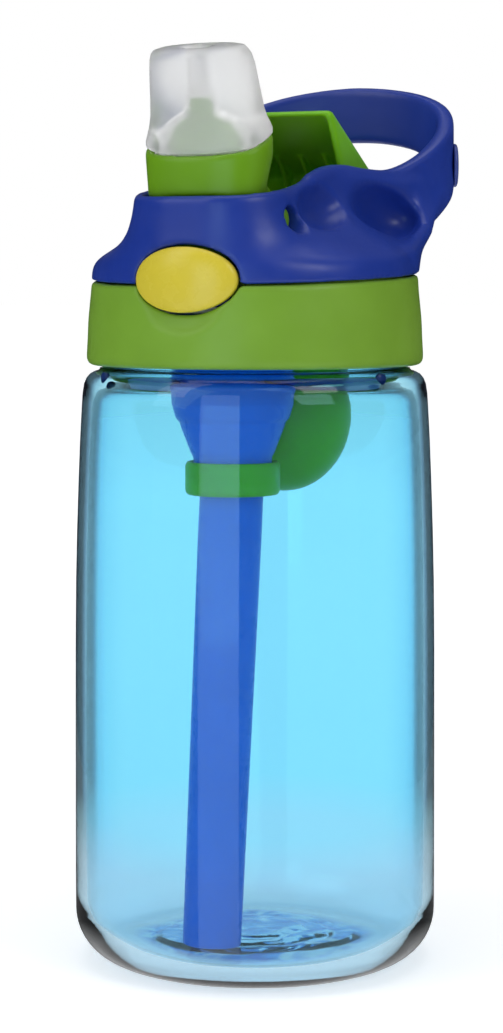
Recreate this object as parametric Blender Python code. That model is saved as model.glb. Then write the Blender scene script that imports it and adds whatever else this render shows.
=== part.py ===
"""Kids' flip-spout water bottle: clear cyan bottle, green screw collar, blue
lid shell with a carry loop, spring-up soft spout, flip cover and push button.

Frame: metres, +Z up, origin at the centre of the base, button facing -Y.
All lengths below are written in millimetres and multiplied by MM.
"""
import math
import bpy
import bmesh
from mathutils import Matrix, Vector

MM = 0.001
GAP = 0.3            # running gap between neighbouring pieces

# --- bottle -----------------------------------------------------------------
SEG = 44             # facets round the turned pieces
BODY_R = 37.0        # lower body radius
BASE_FLAT_R = 26.3   # flat that the bottle stands on
CORNER_R = 10.7      # radius between base and side wall
WALL = 2.2
FLOOR = 3.0          # thickness of the base
SHOULDER_Z = 112.5
NECK_R = 29.3        # root of the bottle thread
NECK_BORE_R = 26.8
NECK_TOP = 129.5
PITCH = 5.0          # screw thread, one start
RIDGE_H = 1.2        # height of the thread ridges
# --- collar and lid shell ----------------------------------------------------
COLLAR_Z0 = 119.1
COLLAR_R0 = 34.1
COLLAR_R1 = 32.9
COLLAR_BORE = 31.2
SEAM_Z = 136.9       # height of the collar/shell seam on the axis
SEAM_SLOPE = 0.05    # the seam rises towards the handle
SHELL_TOP_W = 16.0   # half width of the shell at its top rim
SHELL_TOP_F = 31.6   # reach of the top rim to the front
SHELL_TOP_B = 33.2   # and to the back
POCKET_W = 13.6
POCKET_F = 29.8
POCKET_B = 31.0
# --- spout -------------------------------------------------------------------
HINGE_Y, HINGE_Z = -19.0, 148.0
DRUM_R = 9.2
DRUM_W = 10.9
TRUNNION_R = 2.4
STEM_Y, STEM_R = -16.3, 4.6
# --- cover -------------------------------------------------------------------
PIN_Y, PIN_Z, PIN_R = 27.0, 151.0, 1.3
COVER_W = 12.9
# --- button ------------------------------------------------------------------
BUTTON_Z = 136.4
BUTTON_A, BUTTON_B = 11.25, 6.4
BUTTON_FACE_R = 33.2
# --- parts hanging inside ----------------------------------------------------
FUNNEL_Y = -10.5
WELL_Y = 14.4
STRAW_TOP = (0.0, -10.4, 99.2)
STRAW_TIP = (0.0, -20.0, 5.0)


def clear_scene():
    for ob in list(bpy.data.objects):
        bpy.data.objects.remove(ob, do_unlink=True)


def material(name, colour, rough, metal=0.0, transmission=0.0, alpha=1.0):
    mat = bpy.data.materials.new(name)
    mat.use_nodes = True
    bsdf = mat.node_tree.nodes["Principled BSDF"]
    bsdf.inputs["Base Color"].default_value = (*colour, 1.0)
    bsdf.inputs["Roughness"].default_value = rough
    bsdf.inputs["Metallic"].default_value = metal
    bsdf.inputs["Transmission Weight"].default_value = transmission
    bsdf.inputs["Alpha"].default_value = alpha
    return mat


def finish_mesh(name, bm, mat, origin=(0, 0, 0), sharp=35.0):
    """Turn a bmesh in millimetres into an object in metres."""
    bmesh.ops.remove_doubles(bm, verts=bm.verts, dist=0.0005)
    bmesh.ops.recalc_face_normals(bm, faces=bm.faces)
    o = Vector(origin)
    bmesh.ops.translate(bm, verts=bm.verts, vec=-o)
    bmesh.ops.scale(bm, verts=bm.verts, vec=(MM, MM, MM))
    me = bpy.data.meshes.new(name)
    bm.to_mesh(me)
    bm.free()
    me.shade_smooth()
    me.set_sharp_from_angle(angle=math.radians(sharp))
    ob = bpy.data.objects.new(name, me)
    ob.location = o * MM
    bpy.context.scene.collection.objects.link(ob)
    if mat is not None:
        me.materials.append(mat)
    return ob


def loft(bm, rings, closed=False):
    """Skin a list of rings with equal vertex counts; cap the ends if open."""
    rows = []
    for ring in rings:
        rows.append([bm.verts.new(p) for p in ring])
    n = len(rows[0])
    last = len(rows) if closed else len(rows) - 1
    for i in range(last):
        a, b = rows[i], rows[(i + 1) % len(rows)]
        for j in range(n):
            k = (j + 1) % n
            bm.faces.new((a[j], a[k], b[k], b[j]))
    if not closed:
        bm.faces.new(rows[0])
        bm.faces.new(rows[-1])
    return bm


def circle(r, z, cx=0.0, cy=0.0, n=SEG, b=None):
    b = r if b is None else b
    return [(cx + r * math.cos(2 * math.pi * i / n),
             cy + b * math.sin(2 * math.pi * i / n), z) for i in range(n)]


def turned(profile, n=SEG, cx=0.0, cy=0.0, closed=True):
    bm = bmesh.new()
    return loft(bm, [circle(r, z, cx, cy, n) for r, z in profile], closed)


def box(bm, lo, hi):
    """A plain box between two corners."""
    m = Matrix.Translation([(a + b) / 2 for a, b in zip(lo, hi)])
    size = Matrix.Diagonal([b - a for a, b in zip(lo, hi)]).to_4x4()
    bmesh.ops.create_cube(bm, size=1.0, matrix=m @ size)
    return bm


def rod_x(bm, r, x0, x1, y, z, n=24):
    """A cylinder lying along X."""
    rings = [[(x, y + r * math.cos(2 * math.pi * i / n),
               z + r * math.sin(2 * math.pi * i / n)) for i in range(n)]
             for x in (x0, x1)]
    return loft(bm, rings)


def slab_x(bm, poly, x0, x1):
    """Extrude a (y, z) outline along X."""
    return loft(bm, [[(x, y, z) for y, z in poly] for x in (x0, x1)])


def boolean(ob, cutter, operation="DIFFERENCE"):
    """Apply one exact Boolean and drop the tool object."""
    mod = ob.modifiers.new("bool", "BOOLEAN")
    mod.operation = operation
    mod.solver = "EXACT"
    mod.object = cutter
    bpy.context.view_layer.update()
    deps = bpy.context.evaluated_depsgraph_get()
    me = bpy.data.meshes.new_from_object(ob.evaluated_get(deps))
    ob.modifiers.remove(mod)
    old = ob.data
    ob.data = me
    me.name = old.name
    bpy.data.meshes.remove(old)
    bpy.data.objects.remove(cutter, do_unlink=True)
    me.shade_smooth()
    me.set_sharp_from_angle(angle=math.radians(35.0))


def tool(bm, name="tool"):
    return finish_mesh(name, bm, None)


def tidy(ob):
    """Weld slivers left by the Booleans and point the faces out again."""
    bm = bmesh.new()
    bm.from_mesh(ob.data)
    bmesh.ops.remove_doubles(bm, verts=bm.verts, dist=0.00002)
    bmesh.ops.dissolve_degenerate(bm, dist=0.00001, edges=bm.edges)
    bmesh.ops.triangulate(bm, faces=bm.faces)
    bmesh.ops.recalc_face_normals(bm, faces=bm.faces)
    bm.to_mesh(ob.data)
    bm.free()
    ob.data.shade_smooth()
    ob.data.set_sharp_from_angle(angle=math.radians(35.0))


def smooth(t):
    t = max(0.0, min(1.0, t))
    return t * t * (3 - 2 * t)


def ridge(theta, z, phase, z0, z1):
    """Height, 0..1, of a one-start thread ridge at an angle and a height."""
    d = (z - phase - PITCH * theta / (2 * math.pi)) % PITCH
    d = min(d, PITCH - d)
    crest = smooth((1.35 - d) / 0.8)
    return crest * smooth((z - z0) / 1.4) * smooth((z1 - z) / 1.4)


def thread_ring(r, z, phase, z0, z1, sign, n=SEG):
    out = []
    for i in range(n):
        th = 2 * math.pi * i / n
        rr = r + sign * RIDGE_H * ridge(th, z, phase, z0, z1)
        out.append((rr * math.cos(th), rr * math.sin(th), z))
    return out


def rrect_radius(phi, w, f, b, cf, cb):
    """Polar radius of a rounded rectangle: half width w, reach f to -Y and b
    to +Y, corner radius cf in front and cb behind."""
    dx, dy = math.cos(phi), math.sin(phi)

    def inside(r):
        x, y = abs(r * dx), r * dy
        c = cf if y < 0 else cb
        reach = f if y < 0 else b
        qx, qy = x - (w - c), abs(y) - (reach - c)
        if qx <= 0 or qy <= 0:
            return x <= w and abs(y) <= reach
        return math.hypot(qx, qy) <= c
    lo, hi = 0.0, 80.0
    for _ in range(40):
        mid = (lo + hi) / 2
        if inside(mid):
            lo = mid
        else:
            hi = mid
    return lo


# --- bottle and gasket -------------------------------------------------------
def make_bottle(mat):
    z0, z1 = 120.3, NECK_TOP - 0.6
    rings = []
    outer = [(BASE_FLAT_R, 0.0)]
    for k in range(1, 7):
        a = math.radians(15 * k)
        outer.append((BASE_FLAT_R + CORNER_R * math.sin(a), CORNER_R * (1 - math.cos(a))))
    outer += [(BODY_R + 0.1, 45.0), (BODY_R - 0.1, 80.0), (36.1, 100.0), (35.4, 108.0),
              (34.9, SHOULDER_Z), (34.1, 115.2), (32.6, 117.2), (31.6, 118.0),
              (31.4, 118.6), (NECK_R + 0.3, 118.8), (NECK_R, 119.4)]
    rings += [circle(r, z) for r, z in outer]
    steps = 12
    for k in range(steps + 1):
        z = z0 + (z1 - z0) * k / steps
        rings.append(thread_ring(NECK_R, z, 1.0, z0, z1, 1.0))
    inner = [(NECK_R, NECK_TOP), (NECK_BORE_R, NECK_TOP), (NECK_BORE_R, 119.0),
             (27.4, 117.9), (30.4, 115.9), (31.9, 113.8), (32.6, SHOULDER_Z),
             (33.2, 108.0), (33.9, 100.0), (BODY_R - 0.1 - WALL, 80.0),
             (BODY_R + 0.1 - WALL, 45.0), (BODY_R - WALL, 12.0), (33.6, 7.4),
             (30.2, 4.2), (26.0, FLOOR)]
    rings += [circle(r, z) for r, z in inner]
    bm = loft(bmesh.new(), rings)
    return finish_mesh("bottle_body", bm, mat)


def make_gasket(mat):
    prof = [(27.0, 129.9), (29.2, 129.9), (29.5, 130.5), (29.2, 131.1), (27.0, 131.1)]
    return finish_mesh("rim_gasket", turned(prof, 36), mat)


# --- the lid's fixed pieces --------------------------------------------------
def seam(y, off=0.0):
    return SEAM_Z + SEAM_SLOPE * y + off


def make_collar(mat):
    z0, z1 = COLLAR_Z0 + 1.0, 130.4
    rings = []
    for r, z in [(COLLAR_BORE + 0.3, COLLAR_Z0), (COLLAR_R0 - 1.4, COLLAR_Z0),
                 (COLLAR_R0 - 0.4, COLLAR_Z0 + 0.4), (COLLAR_R0, COLLAR_Z0 + 1.5),
                 (COLLAR_R0 - 0.35, 126.0)]:
        rings.append(circle(r, z))
    for r, off in [(COLLAR_R1 + 0.15, -1.2), (COLLAR_R1 - 0.25, -0.1), (COLLAR_BORE, -0.1)]:
        rings.append([(x, y, seam(y, off)) for x, y, _ in circle(r, 0)])
    rings.append(circle(COLLAR_BORE, z1 + 0.4))
    steps = 12
    for k in range(steps, -1, -1):
        z = z0 + (z1 - z0) * k / steps
        rings.append(thread_ring(COLLAR_BORE, z, 1.0 + PITCH / 2, z0, z1, -1.0))
    ob = finish_mesh("screw_collar", loft(bmesh.new(), rings, True), mat)
    # dished recess under the button
    bm = bmesh.new()
    bmesh.ops.create_uvsphere(bm, u_segments=28, v_segments=16, radius=1.0)
    bmesh.ops.scale(bm, verts=bm.verts, vec=(13.2, 2.3, 11.0))
    bmesh.ops.translate(bm, verts=bm.verts, vec=(0, -34.2, BUTTON_Z + 0.2))
    boolean(ob, tool(bm))
    boolean(ob, button_hole())
    tidy(ob)
    return ob


def button_hole():
    n = 36
    rings = [[((BUTTON_A + 0.5) * math.cos(2 * math.pi * i / n), y,
               BUTTON_Z + (BUTTON_B + 0.5) * math.sin(2 * math.pi * i / n))
              for i in range(n)] for y in (-42.0, -27.0)]
    return tool(loft(bmesh.new(), rings))


# share of the way from the collar's circle to the shell's narrow top outline,
# against height above the seam on the axis
COVE = [(0.0, 0.0), (2.6, 0.03), (4.0, 0.12), (5.4, 0.31), (7.2, 0.54),
        (9.4, 0.73), (12.0, 0.87), (14.4, 0.96), (16.6, 1.0)]


def rim_height(y):
    """Height of the shell's top rim along its length."""
    if y < -12:
        return 152.6 + 2.2 * smooth((y + 32) / 20.0)
    if y < 3:
        return 154.8 + 3.9 * smooth((y + 12) / 15.0)
    if y < 17:
        return 158.7 - 0.5 * smooth((y - 3) / 14.0)
    return 158.2 - 4.2 * smooth((y - 17) / 14.0)


def shell_ring(level, share, n=SEG, shrink=0.0):
    out = []
    for i in range(n):
        phi = 2 * math.pi * i / n
        top = rrect_radius(phi, SHELL_TOP_W, SHELL_TOP_F, SHELL_TOP_B, 12.5, 6.0)
        r = (1 - share) * (COLLAR_R1 + 0.2) + share * top - shrink
        x, y = r * math.cos(phi), r * math.sin(phi)
        lo = seam(y, 0.2)
        hi = rim_height(y)
        out.append((x, y, lo + (hi - lo) * level / 16.6))
    return out


def pocket_tool(z0, z1):
    rings = []
    for z in (z0, z1):
        ring = []
        for i in range(2 * SEG):
            phi = math.pi * i / SEG
            r = rrect_radius(phi, POCKET_W, POCKET_F, POCKET_B, 10.0, 2.0)
            ring.append((r * math.cos(phi), r * math.sin(phi), z))
        rings.append(ring)
    return tool(loft(bmesh.new(), rings))


# plan and height of the carry loop on the +X side, from the shell's shoulder
# round to the middle of the back: x, y, bottom z, top z, thickness
LOOP = [(14.9, -2.0, 147.0, 157.4, 2.6), (16.6, 6.0, 145.0, 158.9, 3.2),
        (18.6, 13.0, 144.5, 158.4, 3.6), (20.8, 20.0, 145.0, 158.5, 3.6),
        (23.2, 26.0, 147.0, 160.8, 3.6), (24.9, 32.0, 150.0, 164.6, 3.6),
        (24.6, 38.5, 154.0, 168.6, 3.6), (21.4, 44.5, 159.5, 172.8, 3.6),
        (15.6, 49.0, 164.0, 175.6, 3.6), (8.0, 51.6, 166.2, 177.4, 3.6),
        (0.0, 52.4, 166.8, 178.0, 3.6)]


def make_loop():
    pts = LOOP + [(-x, y, a, b, t) for x, y, a, b, t in reversed(LOOP[:-1])]
    rings = []
    for i, (x, y, za, zb, t) in enumerate(pts):
        p, q = pts[max(0, i - 1)], pts[min(len(pts) - 1, i + 1)]
        tx, ty = q[0] - p[0], q[1] - p[1]
        s = math.hypot(tx, ty)
        nx, ny = -ty / s, tx / s
        h, e = t / 2, min(1.1, t / 3)
        sec = [(-h + e, za), (h - e, za), (h, za + e), (h, zb - e),
               (h - e, zb), (-h + e, zb), (-h, zb - e), (-h, za + e)]
        rings.append([(x + nx * d, y + ny * d, z) for d, z in sec])
    return tool(loft(bmesh.new(), rings))


def make_strut(side):
    """Web that carries the loop down to the shell's skirt on one side."""
    pts = [(23.4, 22.5, 155.5), (27.0, 36.5, 157.0), (24.6, 40.5, 157.5), (20.6, 23.0, 155.5),
           (31.4, 6.0, 141.0), (27.6, 17.0, 140.4), (27.8, 5.0, 141.5), (23.6, 16.5, 141.2)]
    bm = bmesh.new()
    vs = [bm.verts.new((side * x, y, z)) for x, y, z in pts]
    res = bmesh.ops.convex_hull(bm, input=vs)
    junk = [g for g in res["geom_interior"] + res["geom_unused"] if isinstance(g, bmesh.types.BMVert)]
    if junk:
        bmesh.ops.delete(bm, geom=junk, context="VERTS")
    return tool(bm)


def ellipsoid(cx, cy, cz, a, b, c, turn=0.0, u=20, v=12):
    bm = bmesh.new()
    bmesh.ops.create_uvsphere(bm, u_segments=u, v_segments=v, radius=1.0)
    bmesh.ops.scale(bm, verts=bm.verts, vec=(a, b, c))
    bmesh.ops.rotate(bm, verts=bm.verts, cent=(0, 0, 0), matrix=Matrix.Rotation(turn, 3, "X"))
    bmesh.ops.translate(bm, verts=bm.verts, vec=(cx, cy, cz))
    return tool(bm)


def make_shell(mat):
    rings = [shell_ring(lv, sh) for lv, sh in COVE]
    ob = finish_mesh("lid_shell", loft(bmesh.new(), rings), mat)
    boolean(ob, make_loop(), "UNION")
    for side in (1, -1):
        boolean(ob, make_strut(side), "UNION")
    # hollow skirt, left open below
    skirt = [shell_ring(lv, sh, shrink=2.3) for lv, sh in COVE[:5]]
    skirt[0] = [(x, y, z - 3.0) for x, y, z in skirt[0]]
    boolean(ob, tool(loft(bmesh.new(), skirt)))
    boolean(ob, pocket_tool(134.0, 172.0))
    for side in (1, -1):
        # finger scoops either side of the ridge that runs down to the skirt
        boolean(ob, ellipsoid(side * 18.6, -8.5, 150.6, 4.0, 9.6, 4.3, math.radians(4)))
        boolean(ob, ellipsoid(side * 23.6, 17.0, 150.6, 5.2, 9.4, 4.9, math.radians(-20)))
        # bearing hole of the spout's trunnion
        x0, x1 = (12.0, 24.0) if side > 0 else (-24.0, -12.0)
        boolean(ob, tool(rod_x(bmesh.new(), TRUNNION_R + 0.35, x0, x1, HINGE_Y, HINGE_Z, 20)))
    boolean(ob, tool(rod_x(bmesh.new(), PIN_R + 0.3, -15.2, 15.2, PIN_Y, PIN_Z, 16)))
    boolean(ob, button_hole())
    tidy(ob)
    return ob


def make_badge(mat):
    """Blank oval pad on the outside of the loop."""
    n = 24
    yc, zc = 36.5, 158.6
    rings = []
    for k, (s, out) in enumerate([(0.80, 0.35), (1.0, 0.45), (1.0, 0.9), (0.72, 1.5), (0.3, 1.75)]):
        ring = []
        for i in range(n):
            a = 2 * math.pi * i / n
            ring.append((out, 4.2 * s * math.cos(a), 5.4 * s * math.sin(a)))
        rings.append(ring)
    bm = loft(bmesh.new(), rings)
    bmesh.ops.rotate(bm, verts=bm.verts, cent=(0, 0, 0), matrix=Matrix.Rotation(math.radians(2), 3, "Z"))
    bmesh.ops.translate(bm, verts=bm.verts, vec=(26.9, yc, zc))
    return finish_mesh("handle_badge", bm, mat)


# --- pieces inside the lid ---------------------------------------------------
def make_insert(mat):
    """Cup that seals the neck and carries everything that hangs below."""
    prof = [(26.2, 119.6), (26.2, 131.4), (29.4, 131.4), (29.4, 132.6), (24.8, 132.6),
            (24.8, 121.2)]
    ob = finish_mesh("lid_insert", turned(prof, 40, closed=False), mat)
    # spring seat: a short wall standing on a tongue of the flange
    boolean(ob, tool(box(bmesh.new(), (-3.2, -25.6, 131.5), (3.2, -22.0, 132.5))), "UNION")
    boolean(ob, tool(box(bmesh.new(), (-3.2, -22.9, 131.0), (3.2, -21.7, 138.2))), "UNION")
    boolean(ob, tool(turned([(5.0, 117.0), (5.0, 124.0)], 24, 0.0, STEM_Y, False)))
    boolean(ob, tool(loft(bmesh.new(), [circle(11.3, z, 0, WELL_Y, 36, 9.4) for z in (117, 124)])))
    boolean(ob, tool(turned([(1.5, 117.0), (1.5, 124.0)], 16, 17.0, -2.0, False)))
    tidy(ob)
    return ob


def make_funnel(mat):
    prof = [(12.3, 119.2), (12.5, 118.6), (12.5, 117.4), (12.3, 116.6), (12.0, 112.0),
            (11.1, 109.0), (10.4, 108.4), (10.2, 107.0), (7.7, 101.4), (7.6, 94.4)]
    ob = finish_mesh("straw_funnel", turned(prof, 28, 0.0, FUNNEL_Y, False), mat)
    boolean(ob, tool(turned([(STEM_R, 118.0), (STEM_R, 136.4)], 24, 0.0, STEM_Y, False)), "UNION")
    bore = [(11.0, 117.6), (10.9, 112.2), (10.0, 110.0), (9.1, 107.4), (6.75, 101.2), (6.7, 90.0)]
    boolean(ob, tool(turned(bore, 28, 0.0, FUNNEL_Y, False)))
    boolean(ob, tool(turned([(3.1, 116.0), (3.1, 140.0)], 20, 0.0, STEM_Y, False)))
    # groove that holds the stem's O-ring
    groove = turned([(STEM_R - 0.9, 122.4), (STEM_R + 1.0, 122.4),
                     (STEM_R + 1.0, 124.0), (STEM_R - 0.9, 124.0)], 24, 0.0, STEM_Y)
    boolean(ob, tool(groove))
    tidy(ob)
    return ob


def ring_piece(name, mat, r, wire, centre, turn=0.0, n=32, m=10):
    bm = bmesh.new()
    rings = []
    for i in range(n):
        a = 2 * math.pi * i / n
        ring = []
        for j in range(m):
            b = 2 * math.pi * j / m
            rr = r + wire * math.cos(b)
            ring.append((rr * math.cos(a), rr * math.sin(a), wire * math.sin(b)))
        rings.append(ring)
    loft(bm, rings, True)
    bmesh.ops.rotate(bm, verts=bm.verts, cent=(0, 0, 0), matrix=Matrix.Rotation(turn, 3, "X"))
    bmesh.ops.translate(bm, verts=bm.verts, vec=centre)
    return finish_mesh(name, bm, mat, sharp=60)


def make_funnel_ring(mat):
    """Clamp ring round the funnel's socket."""
    prof = [(8.0, 94.0), (8.9, 93.6), (9.4, 94.4), (9.4, 99.6), (8.9, 100.4), (8.0, 100.0)]
    return finish_mesh("funnel_ring", turned(prof, 36, 0.0, FUNNEL_Y), mat)


def make_straw(mat):
    a, b = Vector(STRAW_TOP), Vector(STRAW_TIP)
    ax = (b - a).normalized()
    u = Vector((1, 0, 0))
    v = ax.cross(u).normalized()
    rings = []
    for t, r in [(0, 5.9), (0.3, 5.85), (0.6, 5.75), (1.0, 5.55)]:
        c = a.lerp(b, t)
        rings.append([c + u * (r * math.cos(2 * math.pi * i / 24)) + v * (r * math.sin(2 * math.pi * i / 24))
                      for i in range(24)])
    for t, r in [(1.0, 4.55), (0.0, 4.85)]:
        c = a.lerp(b, t)
        rings.append([c + u * (r * math.cos(2 * math.pi * i / 24)) + v * (r * math.sin(2 * math.pi * i / 24))
                      for i in range(24)])
    return finish_mesh("straw", loft(bmesh.new(), rings, True), mat)


def make_well(mat):
    """Closed green bowl under the lid that makes room for the folded spout."""
    n = 32

    def ell(k, z):
        a, b = 13.3 * k, 11.5 * k
        return circle(a, z, 0, WELL_Y, n, b)
    rings = []
    for ang in (8, 20, 35, 50, 65, 78):
        t = math.radians(ang)
        rings.append(ell(math.sin(t), 109.0 - 15.0 * math.cos(t)))
    rings += [ell(1.0, 109.0), ell(1.0, 117.4)]
    rings += [circle(13.7, 117.4, 0, WELL_Y, n, 11.8), circle(13.7, 119.2, 0, WELL_Y, n, 11.8)]
    rings += [circle(11.0, 119.2, 0, WELL_Y, n, 9.1), circle(11.0, 122.6, 0, WELL_Y, n, 9.1)]
    rings += [circle(9.9, 122.6, 0, WELL_Y, n, 8.0), circle(9.9, 117.8, 0, WELL_Y, n, 8.0)]
    for ang in (86, 65, 45, 25, 8):
        t = math.radians(ang)
        k = 0.9 * math.sin(t)
        rings.append(ell(k, 109.0 - 13.6 * math.cos(t)))
    return finish_mesh("mechanism_well", loft(bmesh.new(), rings), mat)


def make_vent(mat):
    prof = [(3.2, 118.9), (3.3, 119.25), (1.2, 119.3), (1.2, 121.5), (1.9, 121.6), (1.2, 123.0)]
    return finish_mesh("vent_valve", turned(prof, 18, 17.0, -2.0, False), mat)


def make_port_seal(mat):
    """Soft ring on the stem that the spout's drum wipes."""
    z0 = 136.7
    n = 24
    rings = [circle(2.7, z0, 0, STEM_Y, n), circle(4.3, z0, 0, STEM_Y, n)]
    for r in (4.3, 2.7):
        ring = []
        for x, y, _ in circle(r, 0, 0, STEM_Y, n):
            drop = math.sqrt(max(0.0, (DRUM_R + 0.35) ** 2 - (y - HINGE_Y) ** 2))
            ring.append((x, y, HINGE_Z - drop))
        rings.append(ring)
    return finish_mesh("port_seal", loft(bmesh.new(), rings, True), mat)


# --- spout -------------------------------------------------------------------
DRUM_PROFILE = [(-10.9, 6.6), (-9.4, 8.0), (-8.0, 8.8), (-6.2, DRUM_R), (6.2, DRUM_R),
                (8.0, 8.8), (9.4, 8.0), (10.9, 6.6)]


def superellipse(a, b, cx, cy, n, power=2.5):
    out = []
    for i in range(n):
        t = 2 * math.pi * i / n
        c, s = math.cos(t), math.sin(t)
        out.append((cx + a * math.copysign(abs(c) ** (2 / power), c),
                    cy + b * math.copysign(abs(s) ** (2 / power), s)))
    return out


def plane_z(y, off):
    """Height of the cup's tilted top: low in front, high behind."""
    return 160.0 + 0.43 * (y + 28.9) + off


def make_barrel(mat):
    n = 32
    rings = [[(x, HINGE_Y + r * math.cos(2 * math.pi * i / n), HINGE_Z + r * math.sin(2 * math.pi * i / n))
              for i in range(n)] for x, r in DRUM_PROFILE]
    ob = finish_mesh("spout_barrel", loft(bmesh.new(), rings), mat)
    cup = [[(x, y, 152.6) for x, y in superellipse(11.8, 6.1, 0, -22.6, 36)]]
    cup.append([(x, y, 156.0) for x, y in superellipse(12.1, 6.2, 0, -22.6, 36)])
    cup.append([(x, y, plane_z(y, 0.0)) for x, y in superellipse(12.4, 6.3, 0, -22.6, 36)])
    boolean(ob, tool(loft(bmesh.new(), cup)), "UNION")
    seat = [[(x, y, plane_z(y, -2.6)) for x, y in superellipse(11.2, 5.1, 0, -22.6, 32)],
            [(x, y, plane_z(y, 3.0)) for x, y in superellipse(11.2, 5.1, 0, -22.6, 32)]]
    boolean(ob, tool(loft(bmesh.new(), seat)))
    # dome and nozzle inside the soft spout
    dome = [[(x, y, 157.5) for x, y in superellipse(8.3, 3.7, 0, -22.6, 24, 2.2)],
            [(x, y, 165.0) for x, y in superellipse(7.4, 3.7, 0, -22.9, 24, 2.2)],
            [(x, y, 168.0) for x, y in superellipse(5.0, 3.1, 0, -23.2, 24, 2.0)],
            [(x, y, 169.0) for x, y in superellipse(3.0, 2.6, 0, -23.4, 24, 2.0)],
            [(x, y, 172.0) for x, y in superellipse(2.6, 2.4, 0, -24.0, 24, 2.0)]]
    boolean(ob, tool(loft(bmesh.new(), dome)), "UNION")
    for side in (1, -1):
        x0, x1 = sorted((side * 10.0, side * 15.3))
        boolean(ob, tool(rod_x(bmesh.new(), TRUNNION_R, x0, x1, HINGE_Y, HINGE_Z, 18)), "UNION")
        # tooth that the latch holds while the spout is folded
        a0, a1 = math.radians(-12), math.radians(4)
        tooth = [(HINGE_Y + r * math.cos(a), HINGE_Z + r * math.sin(a))
                 for r, a in ((6.0, a0), (11.2, a0 + 0.06), (11.2, a1), (6.0, a1 + 0.1))]
        x0, x1 = sorted((side * 7.6, side * 9.6))
        boolean(ob, tool(slab_x(bmesh.new(), tooth, x0, x1)), "UNION")
    # drink passage from the stem's seal up through the nozzle
    lo, hi = Vector((0, -16.9, 136.0)), Vector((0, -25.0, 176.0))
    ax = (hi - lo).normalized()
    u = Vector((1, 0, 0))
    v = ax.cross(u).normalized()
    bore = [[c + u * (1.7 * math.cos(2 * math.pi * i / 16)) + v * (1.7 * math.sin(2 * math.pi * i / 16))
             for i in range(16)] for c in (lo, hi)]
    boolean(ob, tool(loft(bmesh.new(), bore)))
    tidy(ob)
    ob_origin(ob, (0, HINGE_Y, HINGE_Z))
    return ob


def ob_origin(ob, origin):
    """Put an object's origin on its joint's axis without moving its surface."""
    o = Vector(origin) * MM
    ob.data.transform(Matrix.Translation(ob.location - o))
    ob.location = o


def make_soft_spout(mat):
    n = 32

    def ring(a, b, cy, z, tilt, power=2.4):
        return [(x, y, z + tilt * (y - cy)) for x, y in superellipse(a, b, 0, cy, n, power)]
    outer = [ring(10.8, 4.75, -22.6, 160.6, 0.43), ring(10.8, 4.75, -22.6, 163.15, 0.43),
             ring(12.3, 6.15, -22.6, 163.1, 0.43), ring(12.1, 6.1, -22.8, 164.9, 0.40),
             ring(11.2, 5.7, -23.2, 168.2, 0.32), ring(10.8, 5.6, -24.0, 172.5, 0.27),
             ring(10.5, 5.5, -25.2, 178.0, 0.25), ring(10.0, 5.2, -25.8, 180.6, 0.25),
             ring(9.0, 4.5, -26.0, 181.6, 0.25, 2.2), ring(2.3, 2.3, -26.1, 181.7, 0.25, 2.0)]
    inner = [ring(2.2, 2.2, -25.2, 176.4, 0.25, 2.0), ring(3.4, 3.1, -24.6, 172.6, 0.2, 2.0),
             ring(8.3, 4.2, -23.4, 169.4, 0.3, 2.2), ring(9.0, 4.3, -22.9, 165.5, 0.43, 2.3),
             ring(9.0, 4.25, -22.6, 160.6, 0.43, 2.3)]
    ob = finish_mesh("soft_spout", loft(bmesh.new(), outer + inner, True), mat)
    ob_origin(ob, (0, HINGE_Y, HINGE_Z))
    return ob


def coil(name, mat, r, wire, x0, x1, turns, y, z, legs=(), per=10):
    """Coil spring about an axis along X, with straight legs on its ends."""
    curve = bpy.data.curves.new(name, "CURVE")
    curve.dimensions = "3D"
    curve.bevel_depth = wire * MM
    curve.bevel_resolution = 1
    curve.use_fill_caps = True
    count = int(turns * per)
    pts = []
    for i in range(count + 1):
        t = i / count
        a = 2 * math.pi * turns * t
        pts.append((x0 + (x1 - x0) * t, y + r * math.cos(a), z + r * math.sin(a)))
    pts = list(legs[0:1]) + pts + list(legs[1:2])
    sp = curve.splines.new("POLY")
    sp.points.add(len(pts) - 1)
    for p, c in zip(sp.points, pts):
        p.co = (c[0] * MM, c[1] * MM, c[2] * MM, 1.0)
    ob = bpy.data.objects.new(name, curve)
    bpy.context.scene.collection.objects.link(ob)
    curve.materials.append(mat)
    return ob


def make_button_spring(mat):
    curve = bpy.data.curves.new("button_spring", "CURVE")
    curve.dimensions = "3D"
    curve.bevel_depth = 0.22 * MM
    curve.bevel_resolution = 1
    curve.use_fill_caps = True
    turns, per = 4, 10
    sp = curve.splines.new("POLY")
    sp.points.add(turns * per)
    for i, p in enumerate(sp.points):
        t = i / (turns * per)
        a = 2 * math.pi * turns * t
        p.co = (1.9 * math.cos(a) * MM, (-26.9 + 3.4 * t) * MM, (135.8 + 1.9 * math.sin(a)) * MM, 1.0)
    ob = bpy.data.objects.new("button_spring", curve)
    bpy.context.scene.collection.objects.link(ob)
    curve.materials.append(mat)
    return ob


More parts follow.
